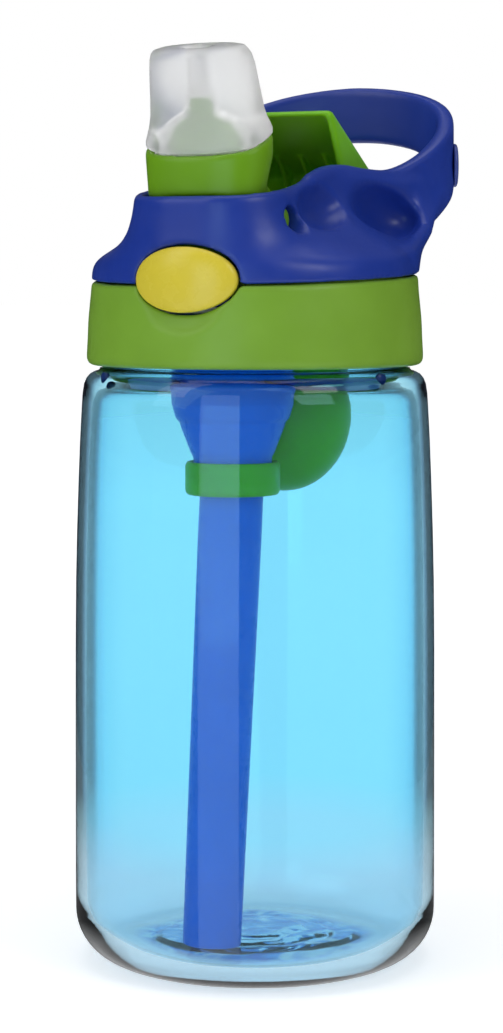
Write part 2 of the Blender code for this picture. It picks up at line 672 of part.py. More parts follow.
# --- cover, button and latch -------------------------------------------------
def make_cover(mat):
    roof = [(9.0, 169.6), (9.3, 170.6), (10.6, 170.8), (27.4, 159.2), (29.2, 156.6), (29.6, 154.6),
            (29.6, 153.6), (28.6, 153.6), (28.6, 154.4), (28.2, 156.2), (26.7, 158.3), (10.2, 169.4)]
    ob = finish_mesh("flip_cover", slab_x(bmesh.new(), roof, -COVER_W, COVER_W), mat)
    cheek = [(9.2, 169.6), (10.0, 170.4), (27.0, 158.9), (29.0, 156.4), (29.4, 153.0),
             (29.3, 149.6), (27.6, 148.5), (25.2, 149.2), (15.6, 158.2)]
    for side in (1, -1):
        x0, x1 = sorted((side * (COVER_W - 1.25), side * (COVER_W - 0.01)))
        boolean(ob, tool(slab_x(bmesh.new(), cheek, x0, x1)), "UNION")
        x0, x1 = sorted((side * 8.5, side * (COVER_W - 0.02)))
        boolean(ob, tool(rod_x(bmesh.new(), 2.5, x0, x1, PIN_Y, PIN_Z, 20)), "UNION")
    for x in (-5.5, 0.0, 5.5):
        rib = [(24.0, 160.5), (28.9, 156.5), (28.9, 154.0), (27.9, 154.3), (26.6, 156.4), (23.6, 159.2)]
        boolean(ob, tool(slab_x(bmesh.new(), rib, x - 0.6, x + 0.6)), "UNION")
    boolean(ob, tool(rod_x(bmesh.new(), PIN_R + 0.3, -14.0, 14.0, PIN_Y, PIN_Z, 16)))
    tidy(ob)
    ob_origin(ob, (0, PIN_Y, PIN_Z))
    return ob


def make_button(mat):
    """Domed oval cap that follows the collar's curve, with a post behind."""
    n = 36

    def ring(s, out):
        pts = []
        for i in range(n):
            a = 2 * math.pi * i / n
            x = BUTTON_A * s * math.cos(a)
            z = BUTTON_Z + BUTTON_B * s * math.sin(a)
            y = -math.sqrt(BUTTON_FACE_R ** 2 - x * x) - out
            pts.append((x, y, z))
        return pts
    rings = [ring(0.15, -0.9), ring(0.6, -0.9), ring(0.97, -0.9), ring(1.0, -0.6), ring(1.0, 0.1), ring(0.96, 0.45),
             ring(0.86, 0.85), ring(0.7, 1.2), ring(0.5, 1.45), ring(0.28, 1.6), ring(0.1, 1.65)]
    ob = finish_mesh("push_button", loft(bmesh.new(), rings), mat)
    post = [[(2.0 * math.cos(2 * math.pi * i / 16), y, 135.8 + 2.0 * math.sin(2 * math.pi * i / 16))
             for i in range(16)] for y in (-33.0, -29.1)]
    boolean(ob, tool(loft(bmesh.new(), post)), "UNION")
    tidy(ob)
    ob_origin(ob, (0, -33.2, BUTTON_Z))
    return ob


def make_latch(mat):
    ob = finish_mesh("latch_slider", box(bmesh.new(), (-9.3, -28.7, 133.1), (9.3, -27.5, 138.0)), mat)
    for side in (1, -1):
        x0, x1 = sorted((side * 7.4, side * 9.3))
        arm = [(-28.6, 133.1), (-23.8, 133.1), (-23.8, 136.4), (-24.8, 136.4), (-25.4, 134.6), (-28.6, 134.6)]
        boolean(ob, tool(slab_x(bmesh.new(), arm, x0, x1)), "UNION")
    tidy(ob)
    return ob


def main():
    clear_scene()
    cyan = material("clear_cyan", (0.20, 0.62, 0.90), 0.06, 0.0, 0.85, 0.5)
    green = material("leaf_green", (0.22, 0.42, 0.04), 0.35)
    blue = material("royal_blue", (0.02, 0.035, 0.30), 0.35)
    yellow = material("warm_yellow", (0.66, 0.50, 0.04), 0.30)
    milky = material("milky_silicone", (0.72, 0.70, 0.70), 0.45, 0.0, 0.4, 0.8)
    straw_blue = material("straw_blue", (0.01, 0.10, 0.62), 0.30)
    rubber = material("seal_rubber", (0.85, 0.85, 0.83), 0.6)
    steel = material("spring_steel", (0.6, 0.6, 0.6), 0.25, 1.0)

    make_bottle(cyan)
    make_gasket(rubber)
    make_collar(green)
    make_shell(blue)
    make_badge(blue.copy())
    make_insert(blue.copy())
    make_funnel(straw_blue)
    make_funnel_ring(green.copy())
    make_straw(straw_blue.copy())
    make_well(green.copy())
    ring_piece("stem_seal", rubber.copy(), STEM_R - 0.05, 0.5, (0, STEM_Y, 123.2), 0.0, 24, 8)
    make_vent(rubber.copy())
    make_port_seal(rubber.copy())
    make_barrel(green.copy())
    make_soft_spout(milky)
    for side, label in ((1, "right"), (-1, "left")):
        coil("spout_spring_" + label, steel.copy(), 3.1, 0.28, side * 11.5, side * 13.1, 2.25,
             HINGE_Y, HINGE_Z, legs=())
    make_cover(green.copy())
    pin = finish_mesh("cover_pin", rod_x(bmesh.new(), PIN_R, -14.9, 14.9, PIN_Y, PIN_Z, 16), steel.copy())
    ob_origin(pin, (0, PIN_Y, PIN_Z))
    coil("cover_spring", steel.copy(), 1.95, 0.26, -6.5, 6.5, 5.5, PIN_Y, PIN_Z, legs=())
    make_button(yellow)
    make_latch(green.copy())
    make_button_spring(steel.copy())


main()
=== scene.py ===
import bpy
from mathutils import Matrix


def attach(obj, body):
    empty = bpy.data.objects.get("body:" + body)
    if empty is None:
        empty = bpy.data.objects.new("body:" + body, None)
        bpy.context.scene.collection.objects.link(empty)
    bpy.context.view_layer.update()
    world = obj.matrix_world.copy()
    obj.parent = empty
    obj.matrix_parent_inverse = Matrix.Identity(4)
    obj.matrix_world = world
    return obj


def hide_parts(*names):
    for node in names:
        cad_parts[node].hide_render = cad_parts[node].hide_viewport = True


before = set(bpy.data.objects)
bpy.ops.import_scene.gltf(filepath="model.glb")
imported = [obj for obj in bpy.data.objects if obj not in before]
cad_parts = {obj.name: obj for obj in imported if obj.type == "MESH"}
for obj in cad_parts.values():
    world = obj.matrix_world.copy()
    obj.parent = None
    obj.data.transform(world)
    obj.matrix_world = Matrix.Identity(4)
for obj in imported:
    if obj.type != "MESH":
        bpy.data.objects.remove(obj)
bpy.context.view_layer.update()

import math
import bpy
import bmesh
import numpy as np
from mathutils import Vector, Matrix

MM = 0.001
scene = bpy.context.scene

# ============================================================================
# sizes shared with the CAD model, in millimetres
# ============================================================================
BUTTON_Z = 136.4
HINGE = (-19.0, 148.0)          # y, z of the spout's axis
PIN = (27.0, 151.0)             # y, z of the cover's axis
COLLAR_Z0 = 119.1
PITCH = 5.0
FUNNEL_Y, WELL_Y, STEM_Y = -10.5, 14.4, -16.3


def seam(y, off=0.0):
    return 136.9 + 0.05 * y + off


# ============================================================================
# distance fields on a grid, and the skin drawn through their zero level
# ============================================================================
class Grid:
    def __init__(self, lo, hi, step):
        self.h = step
        self.lo = np.array(lo, dtype=np.float64)
        n = [int(math.ceil((b - a) / step)) + 1 for a, b in zip(lo, hi)]
        ax = [np.float32(lo[i]) + np.float32(step) * np.arange(n[i], dtype=np.float32) for i in range(3)]
        self.ax = ax
        self.x = ax[0][:, None, None]
        self.y = ax[1][None, :, None]
        self.z = ax[2][None, None, :]
        self.n = n


def smin(a, b, k):
    h = np.clip(0.5 + 0.5 * (b - a) / k, 0.0, 1.0)
    return b * (1 - h) + a * h - k * h * (1 - h)


def smax(a, b, k):
    return -smin(-a, -b, k)


def rbox2(x, y, hx, hy, r):
    qx = np.abs(x) - (hx - r)
    qy = np.abs(y) - (hy - r)
    return np.hypot(np.maximum(qx, 0), np.maximum(qy, 0)) + np.minimum(np.maximum(qx, qy), 0) - r


def rrect(x, y, w, f, b, cf, cb):
    """Rounded rectangle in plan: half width w, reach f to -Y and b to +Y."""
    front = rbox2(x, y, w, f, cf)
    back = rbox2(x, y, w, b, cb)
    return np.where(y < 0, front, back)


def sstep(t):
    t = np.clip(t, 0.0, 1.0)
    return t * t * (3 - 2 * t)


def ell3(x, y, z, a, b, c):
    """Distance-like field of an ellipsoid."""
    k0 = np.sqrt((x / a) ** 2 + (y / b) ** 2 + (z / c) ** 2)
    k1 = np.sqrt((x / a ** 2) ** 2 + (y / b ** 2) ** 2 + (z / c ** 2) ** 2)
    return k0 * (k0 - 1.0) / np.maximum(k1, 1e-6)


def tri_distance(p, a, b, c):
    """Distance from points p (N, 3) to a triangle."""
    a, b, c = (np.array(v, dtype=np.float32) for v in (a, b, c))
    ba, cb, ac = b - a, c - b, a - c
    pa, pb, pc = p - a, p - b, p - c
    nor = np.cross(ba, ac)

    def edge(e, q):
        t = np.clip((q @ e) / (e @ e), 0, 1)
        d = q - t[:, None] * e
        return np.einsum("ij,ij->i", d, d)
    s = (np.sign(pa @ np.cross(ba, nor)) + np.sign(pb @ np.cross(cb, nor)) + np.sign(pc @ np.cross(ac, nor)))
    d_edge = np.minimum(np.minimum(edge(ba, pa), edge(cb, pb)), edge(ac, pc))
    d_face = (pa @ nor) ** 2 / (nor @ nor)
    return np.sqrt(np.where(s < 2.0, d_edge, d_face))


def true_scale(f, h):
    """Divide a field by its own slope, so that its values are distances."""
    gx, gy, gz = np.gradient(f, h)
    return f / np.maximum(np.sqrt(gx * gx + gy * gy + gz * gz), 0.35)


def skin(name, f, grid, relax=2):
    """Surface through the zero level of a field: one vertex in each cell that
    the surface crosses, joined by quads. The field is negative inside."""
    f = f.astype(np.float32)
    f = np.where(f == 0, np.float32(1e-5), f)
    inside = f < 0
    corners = [(0, 0, 0), (1, 0, 0), (0, 1, 0), (1, 1, 0), (0, 0, 1), (1, 0, 1), (0, 1, 1), (1, 1, 1)]
    nx, ny, nz = f.shape
    cnt = np.zeros((nx - 1, ny - 1, nz - 1), dtype=np.int8)
    for dx, dy, dz in corners:
        cnt += inside[dx:nx - 1 + dx, dy:ny - 1 + dy, dz:nz - 1 + dz]
    ci, cj, ck = np.nonzero((cnt > 0) & (cnt < 8))
    index = -np.ones((nx - 1, ny - 1, nz - 1), dtype=np.int64)
    index[ci, cj, ck] = np.arange(len(ci))
    vals = np.stack([f[ci + dx, cj + dy, ck + dz] for dx, dy, dz in corners], 1)
    acc = np.zeros((len(ci), 3))
    num = np.zeros(len(ci))
    for a in range(8):
        for b in range(a + 1, 8):
            diff = [corners[b][i] - corners[a][i] for i in range(3)]
            if sum(abs(d) for d in diff) != 1:
                continue
            va, vb = vals[:, a], vals[:, b]
            cross = (va < 0) != (vb < 0)
            t = np.where(cross, va / np.where(cross, va - vb, 1), 0)
            for i in range(3):
                acc[:, i] += np.where(cross, corners[a][i] + t * diff[i], 0)
            num += cross
    pts = acc / num[:, None] + np.stack([ci, cj, ck], 1)
    quads = []
    for axis in range(3):
        sl0 = [slice(1, -1)] * 3
        sl1 = [slice(1, -1)] * 3
        sl0[axis] = slice(0, f.shape[axis] - 1)
        sl1[axis] = slice(1, f.shape[axis])
        a, b = inside[tuple(sl0)], inside[tuple(sl1)]
        i, j, k = np.nonzero(a != b)
        off = [1, 1, 1]
        off[axis] = 0
        i, j, k = i + off[0], j + off[1], k + off[2]
        u, v = [(1, 2), (2, 0), (0, 1)][axis]
        cell = np.stack([i, j, k], 1)

        def at(du, dv):
            c = cell.copy()
            c[:, u] -= du
            c[:, v] -= dv
            return index[c[:, 0], c[:, 1], c[:, 2]]
        q = np.stack([at(1, 1), at(0, 1), at(0, 0), at(1, 0)], 1)
        first = inside[cell[:, 0], cell[:, 1], cell[:, 2]]
        q[~first] = q[~first][:, ::-1]
        quads.append(q)
    quads = np.concatenate(quads)
    # relax along the surface, a little, to even out the cells
    if relax:
        e = np.concatenate([quads[:, [0, 1]], quads[:, [1, 2]], quads[:, [2, 3]], quads[:, [3, 0]]])
        for step in range(relax):
            tot = np.zeros_like(pts)
            deg = np.zeros(len(pts))
            for col in range(3):
                tot[:, col] = np.bincount(e[:, 0], pts[e[:, 1], col], len(pts)) + np.bincount(e[:, 1], pts[e[:, 0], col], len(pts))
            deg = np.bincount(e[:, 0], minlength=len(pts)) + np.bincount(e[:, 1], minlength=len(pts))
            pts = pts + 0.5 * (tot / deg[:, None] - pts)
    co = (pts * grid.h + grid.lo) * MM
    me = bpy.data.meshes.new(name)
    me.vertices.add(len(co))
    me.vertices.foreach_set("co", co.astype(np.float32).ravel())
    me.loops.add(quads.size)
    me.loops.foreach_set("vertex_index", quads.astype(np.int32).ravel())
    me.polygons.add(len(quads))
    me.polygons.foreach_set("loop_start", np.arange(0, quads.size, 4, dtype=np.int32))
    me.polygons.foreach_set("loop_total", np.full(len(quads), 4, dtype=np.int32))
    me.update(calc_edges=True)
    me.validate()
    me.shade_smooth()
    ob = bpy.data.objects.new(name, me)
    scene.collection.objects.link(ob)
    return keep_biggest(ob)


def keep_biggest(ob):
    """Drop stray islands smaller than a fiftieth of the whole, face the rest out."""
    bm = bmesh.new()
    bm.from_mesh(ob.data)
    bm.verts.ensure_lookup_table()
    seen, islands = set(), []
    for v in bm.verts:
        if v.index in seen:
            continue
        stack, isl = [v], []
        seen.add(v.index)
        while stack:
            w = stack.pop()
            isl.append(w)
            for e in w.link_edges:
                o = e.other_vert(w)
                if o.index not in seen:
                    seen.add(o.index)
                    stack.append(o)
        islands.append(isl)
    total = len(bm.verts)
    junk = [v for isl in islands if len(isl) < total / 50 for v in isl]
    if junk:
        bmesh.ops.delete(bm, geom=junk, context="VERTS")
    bmesh.ops.recalc_face_normals(bm, faces=bm.faces)
    for f in bm.faces:
        f.smooth = True
    bm.to_mesh(ob.data)
    bm.free()
    return ob


# ============================================================================
# turned and lofted pieces
# ============================================================================
def mesh_object(name, bm, sharp=None):
    bmesh.ops.remove_doubles(bm, verts=bm.verts, dist=0.0005)
    bmesh.ops.recalc_face_normals(bm, faces=bm.faces)
    bmesh.ops.scale(bm, verts=bm.verts, vec=(MM, MM, MM))
    me = bpy.data.meshes.new(name)
    bm.to_mesh(me)
    bm.free()
    me.shade_smooth()
    if sharp is not None:
        me.set_sharp_from_angle(angle=math.radians(sharp))
    ob = bpy.data.objects.new(name, me)
    scene.collection.objects.link(ob)
    return ob


def loft(bm, rings, closed=False):
    rows = [[bm.verts.new(p) for p in ring] for ring in rings]
    n = len(rows[0])
    for i in range(len(rows) if closed else len(rows) - 1):
        a, b = rows[i], rows[(i + 1) % len(rows)]
        for j in range(n):
            k = (j + 1) % n
            bm.faces.new((a[j], a[k], b[k], b[j]))
    if not closed:
        for row in (rows[0], rows[-1]):
            c = bm.verts.new(sum((v.co for v in row), Vector()) / n)
            for j in range(n):
                bm.faces.new((row[j], row[(j + 1) % n], c))
    return bm


def circle(r, z, n, cx=0.0, cy=0.0, b=None):
    b = r if b is None else b
    return [(cx + r * math.cos(2 * math.pi * i / n), cy + b * math.sin(2 * math.pi * i / n), z) for i in range(n)]


def fair(profile, step=0.5, tight=0.35):
    """Round a profile's corners: Chaikin cuts held close to each corner."""
    pts = [Vector((p[0], p[1])) for p in profile]
    out = [pts[0]]
    for a, b, c in zip(pts, pts[1:], pts[2:]):
        d0, d1 = (a - b), (c - b)
        cut = min(d0.length * 0.45, d1.length * 0.45, profile_cut(tight))
        p, q = b + d0.normalized() * cut, b + d1.normalized() * cut
        for t in (0.0, 0.25, 0.5, 0.75, 1.0):
            out.append(p * (1 - t) ** 2 + b * 2 * t * (1 - t) + q * t * t)
    out.append(pts[-1])
    return [(p.x, p.y) for p in out]


def profile_cut(tight):
    return tight


def superellipse(a, b, cx, cy, n, power=2.5):
    out = []
    for i in range(n):
        t = 2 * math.pi * i / n
        c, s = math.cos(t), math.sin(t)
        out.append((cx + a * math.copysign(abs(c) ** (2 / power), c),
                    cy + b * math.copysign(abs(s) ** (2 / power), s)))
    return out


# ============================================================================
# materials
# ============================================================================
def new_mat(name):
    m = bpy.data.materials.new(name)
    m.use_nodes = True
    nt = m.node_tree
    return m, nt, nt.nodes["Principled BSDF"]


def node(nt, kind, **inputs):
    n = nt.nodes.new(kind)
    for k, v in inputs.items():
        n.inputs[k.replace("_", " ")].default_value = v
    return n


def ramp(nt, fac, stops):
    r = nt.nodes.new("ShaderNodeValToRGB")
    els = r.color_ramp.elements
    while len(els) < len(stops):
        els.new(0.5)
    for e, (pos, col) in zip(els, stops):
        e.position = pos
        e.color = (*col, 1.0)
    nt.links.new(fac, r.inputs["Fac"])
    return r


def srgb(r, g, b):
    def lin(c):
        c /= 255.0
        return c / 12.92 if c <= 0.04045 else ((c + 0.055) / 1.055) ** 2.4
    return (lin(r), lin(g), lin(b))


def moulded(name, colour, rough=0.32, vary=0.10, bump=0.05, scale=900.0, coat=0.0, spec=0.5, sss=0.0):
    """Injection-moulded plastic: faint flow marks in the colour, a fine
    satin grain and slow unevenness in the gloss."""
    m, nt, b = new_mat(name)
    geo = nt.nodes.new("ShaderNodeTexCoord")
    big = node(nt, "ShaderNodeTexNoise", Scale=70.0, Detail=3.0, Roughness=0.5)
    fine = node(nt, "ShaderNodeTexNoise", Scale=scale, Detail=2.0, Roughness=0.6)
    flow = node(nt, "ShaderNodeTexNoise", Scale=260.0, Detail=5.0, Roughness=0.6, Distortion=0.6)
    for n in (big, fine, flow):
        nt.links.new(geo.outputs["Object"], n.inputs["Vector"])
    dark = tuple(c * (1 - vary) for c in colour)
    light = tuple(min(1.0, c * (1 + vary) + 0.004) for c in colour)
    col = ramp(nt, big.outputs["Fac"], [(0.32, dark), (0.5, colour), (0.70, light)])
    nt.links.new(col.outputs["Color"], b.inputs["Base Color"])
    rr = ramp(nt, flow.outputs["Fac"], [(0.3, (rough * 0.85,) * 3), (0.7, (min(1, rough * 1.2),) * 3)])
    nt.links.new(rr.outputs["Color"], b.inputs["Roughness"])
    bp = nt.nodes.new("ShaderNodeBump")
    bp.inputs["Strength"].default_value = bump
    bp.inputs["Distance"].default_value = 0.0002
    nt.links.new(fine.outputs["Fac"], bp.inputs["Height"])
    nt.links.new(bp.outputs["Normal"], b.inputs["Normal"])
    b.inputs["Specular IOR Level"].default_value = spec
    b.inputs["Coat Weight"].default_value = coat
    b.inputs["Coat Roughness"].default_value = 0.12
    if sss:
        b.inputs["Subsurface Weight"].default_value = sss
        b.inputs["Subsurface Radius"].default_value = (0.003, 0.003, 0.001)
    return m


def clear_tint(name, colour, rough=0.03, ior=1.45, vary=0.03):
    """Clear tinted bottle plastic: pure transmission with faint waviness; its base colour also carries a painted dark
    edge and a painted paler band low on the wall.
    """
    m, nt, b = new_mat(name)
    geo = nt.nodes.new("ShaderNodeTexCoord")
    wave = node(nt, "ShaderNodeTexNoise", Scale=28.0, Detail=2.0, Roughness=0.45)
    tint = node(nt, "ShaderNodeTexNoise", Scale=14.0, Detail=1.0, Roughness=0.4)
    for n in (wave, tint):
        nt.links.new(geo.outputs["Object"], n.inputs["Vector"])
    a = tuple(c * (1 - vary) for c in colour)
    col = ramp(nt, tint.outputs["Fac"], [(0.35, a), (0.65, colour)])
    # painted shade at the silhouette: the base colour darkens to near black where the wall turns edge-on to the view
    painted_edge_facing = nt.nodes.new("ShaderNodeLayerWeight")
    painted_edge_facing.inputs["Blend"].default_value = 0.5
    edge = ramp(nt, painted_edge_facing.outputs["Facing"], [(0.0, (1, 1, 1)), (0.36, (1, 1, 1)), (0.54, (0.76, 0.90, 0.96)), (0.63, (0.46, 0.66, 0.80)), (0.69, (0.08, 0.12, 0.20)), (0.74, (0.005, 0.007, 0.014)), (1.0, (0.003, 0.004, 0.008))])
    tint_with_painted_edge = nt.nodes.new("ShaderNodeMix")
    tint_with_painted_edge.data_type = "RGBA"
    tint_with_painted_edge.blend_type = "MULTIPLY"
    # the thick foot holds more colour, most of all in its stepped middle
    sep = nt.nodes.new("ShaderNodeSeparateXYZ")
    nt.links.new(geo.outputs["Object"], sep.inputs[0])
    rad = nt.nodes.new("ShaderNodeVectorMath")
    rad.operation = "LENGTH"
    flat = nt.nodes.new("ShaderNodeCombineXYZ")
    nt.links.new(sep.outputs[0], flat.inputs[0])
    nt.links.new(sep.outputs[1], flat.inputs[1])
    nt.links.new(flat.outputs[0], rad.inputs[0])
    near = node(nt, "ShaderNodeMapRange")
    near.inputs["From Min"].default_value = 0.0215
    near.inputs["From Max"].default_value = 0.0255
    near.inputs["To Min"].default_value = 1.0
    near.inputs["To Max"].default_value = 0.0
    nt.links.new(rad.outputs["Value"], near.inputs["Value"])
    low = node(nt, "ShaderNodeMapRange")
    low.inputs["From Min"].default_value = 0.0008
    low.inputs["From Max"].default_value = 0.0016
    low.inputs["To Min"].default_value = 1.0
    low.inputs["To Max"].default_value = 0.0
    nt.links.new(sep.outputs[2], low.inputs["Value"])
    both = nt.nodes.new("ShaderNodeMath")
    both.operation = "MULTIPLY"
    nt.links.new(near.outputs[0], both.inputs[0])
    nt.links.new(low.outputs[0], both.inputs[1])
    foot = nt.nodes.new("ShaderNodeMix")
    foot.data_type = "RGBA"
    nt.links.new(both.outputs[0], foot.inputs[0])
    # below the shoulder of the foot the wall is painted paler and greyer: a painted reflection of the table's far edge
    pale = nt.nodes.new("ShaderNodeMix")
    pale.data_type = "RGBA"
    painted_reflection_mask = node(nt, "ShaderNodeMapRange")
    painted_reflection_mask.inputs["From Min"].default_value = 0.021
    painted_reflection_mask.inputs["From Max"].default_value = 0.030
    painted_reflection_mask.inputs["To Min"].default_value = 1.0
    painted_reflection_mask.inputs["To Max"].default_value = 0.0
    nt.links.new(sep.outputs[2], painted_reflection_mask.inputs["Value"])
    nt.links.new(painted_reflection_mask.outputs[0], pale.inputs[0])
    nt.links.new(col.outputs["Color"], pale.inputs[6])
    painted_reflection_tint = ramp(nt, tint.outputs["Fac"], [(0.35, (0.545, 0.80, 0.93)), (0.65, (0.58, 0.82, 0.94))])
    nt.links.new(painted_reflection_tint.outputs["Color"], pale.inputs[7])
    nt.links.new(pale.outputs[2], foot.inputs[6])
    swirl = node(nt, "ShaderNodeTexNoise", Scale=110.0, Detail=1.5, Distortion=1.6)
    nt.links.new(geo.outputs["Object"], swirl.inputs["Vector"])
    deep = ramp(nt, swirl.outputs["Fac"], [(0.38, (0.002, 0.05, 0.56)), (0.50, (0.02, 0.25, 0.86)), (0.64, (0.42, 0.80, 0.98))])
    nt.links.new(deep.outputs["Color"], foot.inputs[7])
    nt.links.new(foot.outputs[2], tint_with_painted_edge.inputs[6])
    # the painted dark edge fades out towards the foot: its mix runs from 0.12 at 10 mm up to 0.97 at 34 mm
    painted_edge_fade = node(nt, "ShaderNodeMapRange")
    painted_edge_fade.inputs["From Min"].default_value = 0.010
    painted_edge_fade.inputs["From Max"].default_value = 0.034
    painted_edge_fade.inputs["To Min"].default_value = 0.12
    painted_edge_fade.inputs["To Max"].default_value = 0.97
    nt.links.new(sep.outputs[2], painted_edge_fade.inputs["Value"])
    nt.links.new(painted_edge_fade.outputs[0], tint_with_painted_edge.inputs[0])
    nt.links.new(edge.outputs["Color"], tint_with_painted_edge.inputs[7])
    nt.links.new(tint_with_painted_edge.outputs[2], b.inputs["Base Color"])
    bp = nt.nodes.new("ShaderNodeBump")
    bp.inputs["Strength"].default_value = 0.04
    bp.inputs["Distance"].default_value = 0.001
    nt.links.new(wave.outputs["Fac"], bp.inputs["Height"])
    nt.links.new(bp.outputs["Normal"], b.inputs["Normal"])
    b.inputs["Transmission Weight"].default_value = 1.0
    b.inputs["IOR"].default_value = ior
    b.inputs["Roughness"].default_value = rough
    return m


GREEN = srgb(130, 175, 52)
BLUE = srgb(28, 58, 158)
M_green = moulded("leaf_green_plastic", GREEN, 0.36, 0.05, 0.05, spec=0.38)
M_green_in = moulded("leaf_green_inner", srgb(112, 164, 16), 0.34, 0.05, 0.04, spec=0.42)
# the flip cover's green is brighter than the lid's green: partly real translucency (subsurface), partly painted light
# that lifts the cover's shaded inside
M_green_cover_painted_light = moulded("leaf_green_cover_painted_light", srgb(128, 205, 14), 0.34, 0.05, 0.04, sss=0.35)
M_blue = moulded("royal_blue_plastic", BLUE, 0.34, 0.06, 0.05)
M_yellow = moulded("warm_yellow_plastic", srgb(232, 208, 60), 0.26, 0.04, 0.03)
M_straw = moulded("straw_blue_plastic", srgb(0, 104, 216), 0.28, 0.05, 0.02, spec=0.10)
M_well = moulded("well_green_plastic", srgb(96, 172, 14), 0.35, 0.06, 0.03, spec=0.2)
M_badge = moulded("badge_blue_plastic", srgb(70, 84, 160), 0.22, 0.05, 0.02)
M_seal = moulded("seal_silicone", srgb(225, 225, 220), 0.55, 0.03, 0.05)
M_cyan = clear_tint("clear_cyan_plastic", srgb(180, 238, 254))


def silicone(name):
    m, nt, b = new_mat(name)
    geo = nt.nodes.new("ShaderNodeTexCoord")
    cloud = node(nt, "ShaderNodeTexNoise", Scale=60.0, Detail=3.0, Roughness=0.5)
    fine = node(nt, "ShaderNodeTexNoise", Scale=1400.0, Detail=2.0, Roughness=0.6)
    for n in (cloud, fine):
        nt.links.new(geo.outputs["Object"], n.inputs["Vector"])
    col = ramp(nt, cloud.outputs["Fac"], [(0.3, srgb(236, 234, 234)), (0.7, srgb(248, 247, 247))])
    nt.links.new(col.outputs["Color"], b.inputs["Base Color"])
    bp = nt.nodes.new("ShaderNodeBump")
    bp.inputs["Strength"].default_value = 0.05
    bp.inputs["Distance"].default_value = 0.0002
    nt.links.new(fine.outputs["Fac"], bp.inputs["Height"])
    nt.links.new(bp.outputs["Normal"], b.inputs["Normal"])
    b.inputs["Transmission Weight"].default_value = 0.72
    b.inputs["IOR"].default_value = 1.28
    b.inputs["Roughness"].default_value = 0.38
    b.inputs["Subsurface Weight"].default_value = 0.2
    b.inputs["Subsurface Radius"].default_value = (0.004, 0.004, 0.004)
    return m


M_silicone = silicone("milky_silicone")


def steel(name):
    m, nt, b = new_mat(name)
    geo = nt.nodes.new("ShaderNodeTexCoord")
    n1 = node(nt, "ShaderNodeTexNoise", Scale=600.0, Detail=3.0, Roughness=0.6)
    nt.links.new(geo.outputs["Object"], n1.inputs["Vector"])
    r = ramp(nt, n1.outputs["Fac"], [(0.3, (0.18,) * 3), (0.7, (0.34,) * 3)])
    nt.links.new(r.outputs["Color"], b.inputs["Roughness"])
    c = ramp(nt, n1.outputs["Fac"], [(0.3, (0.50, 0.50, 0.51)), (0.7, (0.66, 0.66, 0.67))])
    nt.links.new(c.outputs["Color"], b.inputs["Base Color"])
    b.inputs["Metallic"].default_value = 1.0
    return m


M_steel = steel("spring_steel")


def dress(ob, mat, body, slot, *nodes):
    ob.data.materials.clear()
    ob.data.materials.append(mat)
    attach(ob, body)
    if nodes:
        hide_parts(*nodes)
    return ob


# ============================================================================
# blue lid shell with the carry loop
# ============================================================================
COVE_Z = [0.0, 2.6, 4.0, 5.4, 7.2, 9.4, 12.0, 14.4, 16.6, 24.0]
COVE_S = [0.0, 0.03, 0.12, 0.31, 0.54, 0.73, 0.87, 0.96, 1.0, 1.04]
RIM_Y = [-34, -30, -24, -18, -12, -7, -2, 3, 8, 13, 17, 22, 27, 31, 40]
RIM_Z = [152.5, 152.7, 153.4, 154.2, 155.3, 156.8, 158.2, 158.8, 158.8, 158.5, 158.2, 157.3, 155.6, 154.2, 154.0]
LOOP = [(13.9, -6.0, 149.0, 156.6, 2.2), (14.9, 0.0, 147.0, 158.0, 2.6), (16.6, 7.0, 145.0, 158.8, 3.2),
        (18.6, 13.5, 144.5, 158.5, 3.6), (20.9, 20.0, 145.0, 158.6, 3.7),
        (23.9, 26.0, 147.0, 160.9, 3.7), (26.2, 32.0, 150.0, 164.6, 3.7),
        (26.4, 38.5, 154.0, 168.8, 3.6), (23.4, 44.7, 159.5, 172.9, 3.5),
        (17.2, 49.2, 164.0, 175.8, 3.5), (8.8, 51.7, 166.2, 177.5, 3.5),
        (0.0, 52.4, 166.8, 178.1, 3.5), (-8.8, 51.7, 166.2, 177.5, 3.5)]


def spline(points, per=8):
    """Catmull-Rom curve through rows of numbers."""
    p = np.array(points, dtype=np.float64)
    out = []
    for i in range(len(p) - 1):
        a, b, c, d = p[max(i - 1, 0)], p[i], p[i + 1], p[min(i + 2, len(p) - 1)]
        for s in range(per):
            t = s / per
            out.append(0.5 * ((2 * b) + (c - a) * t + (2 * a - 5 * b + 4 * c - d) * t * t + (3 * b - a - 3 * c + d) * t ** 3))
    out.append(p[-1])
    return np.array(out)


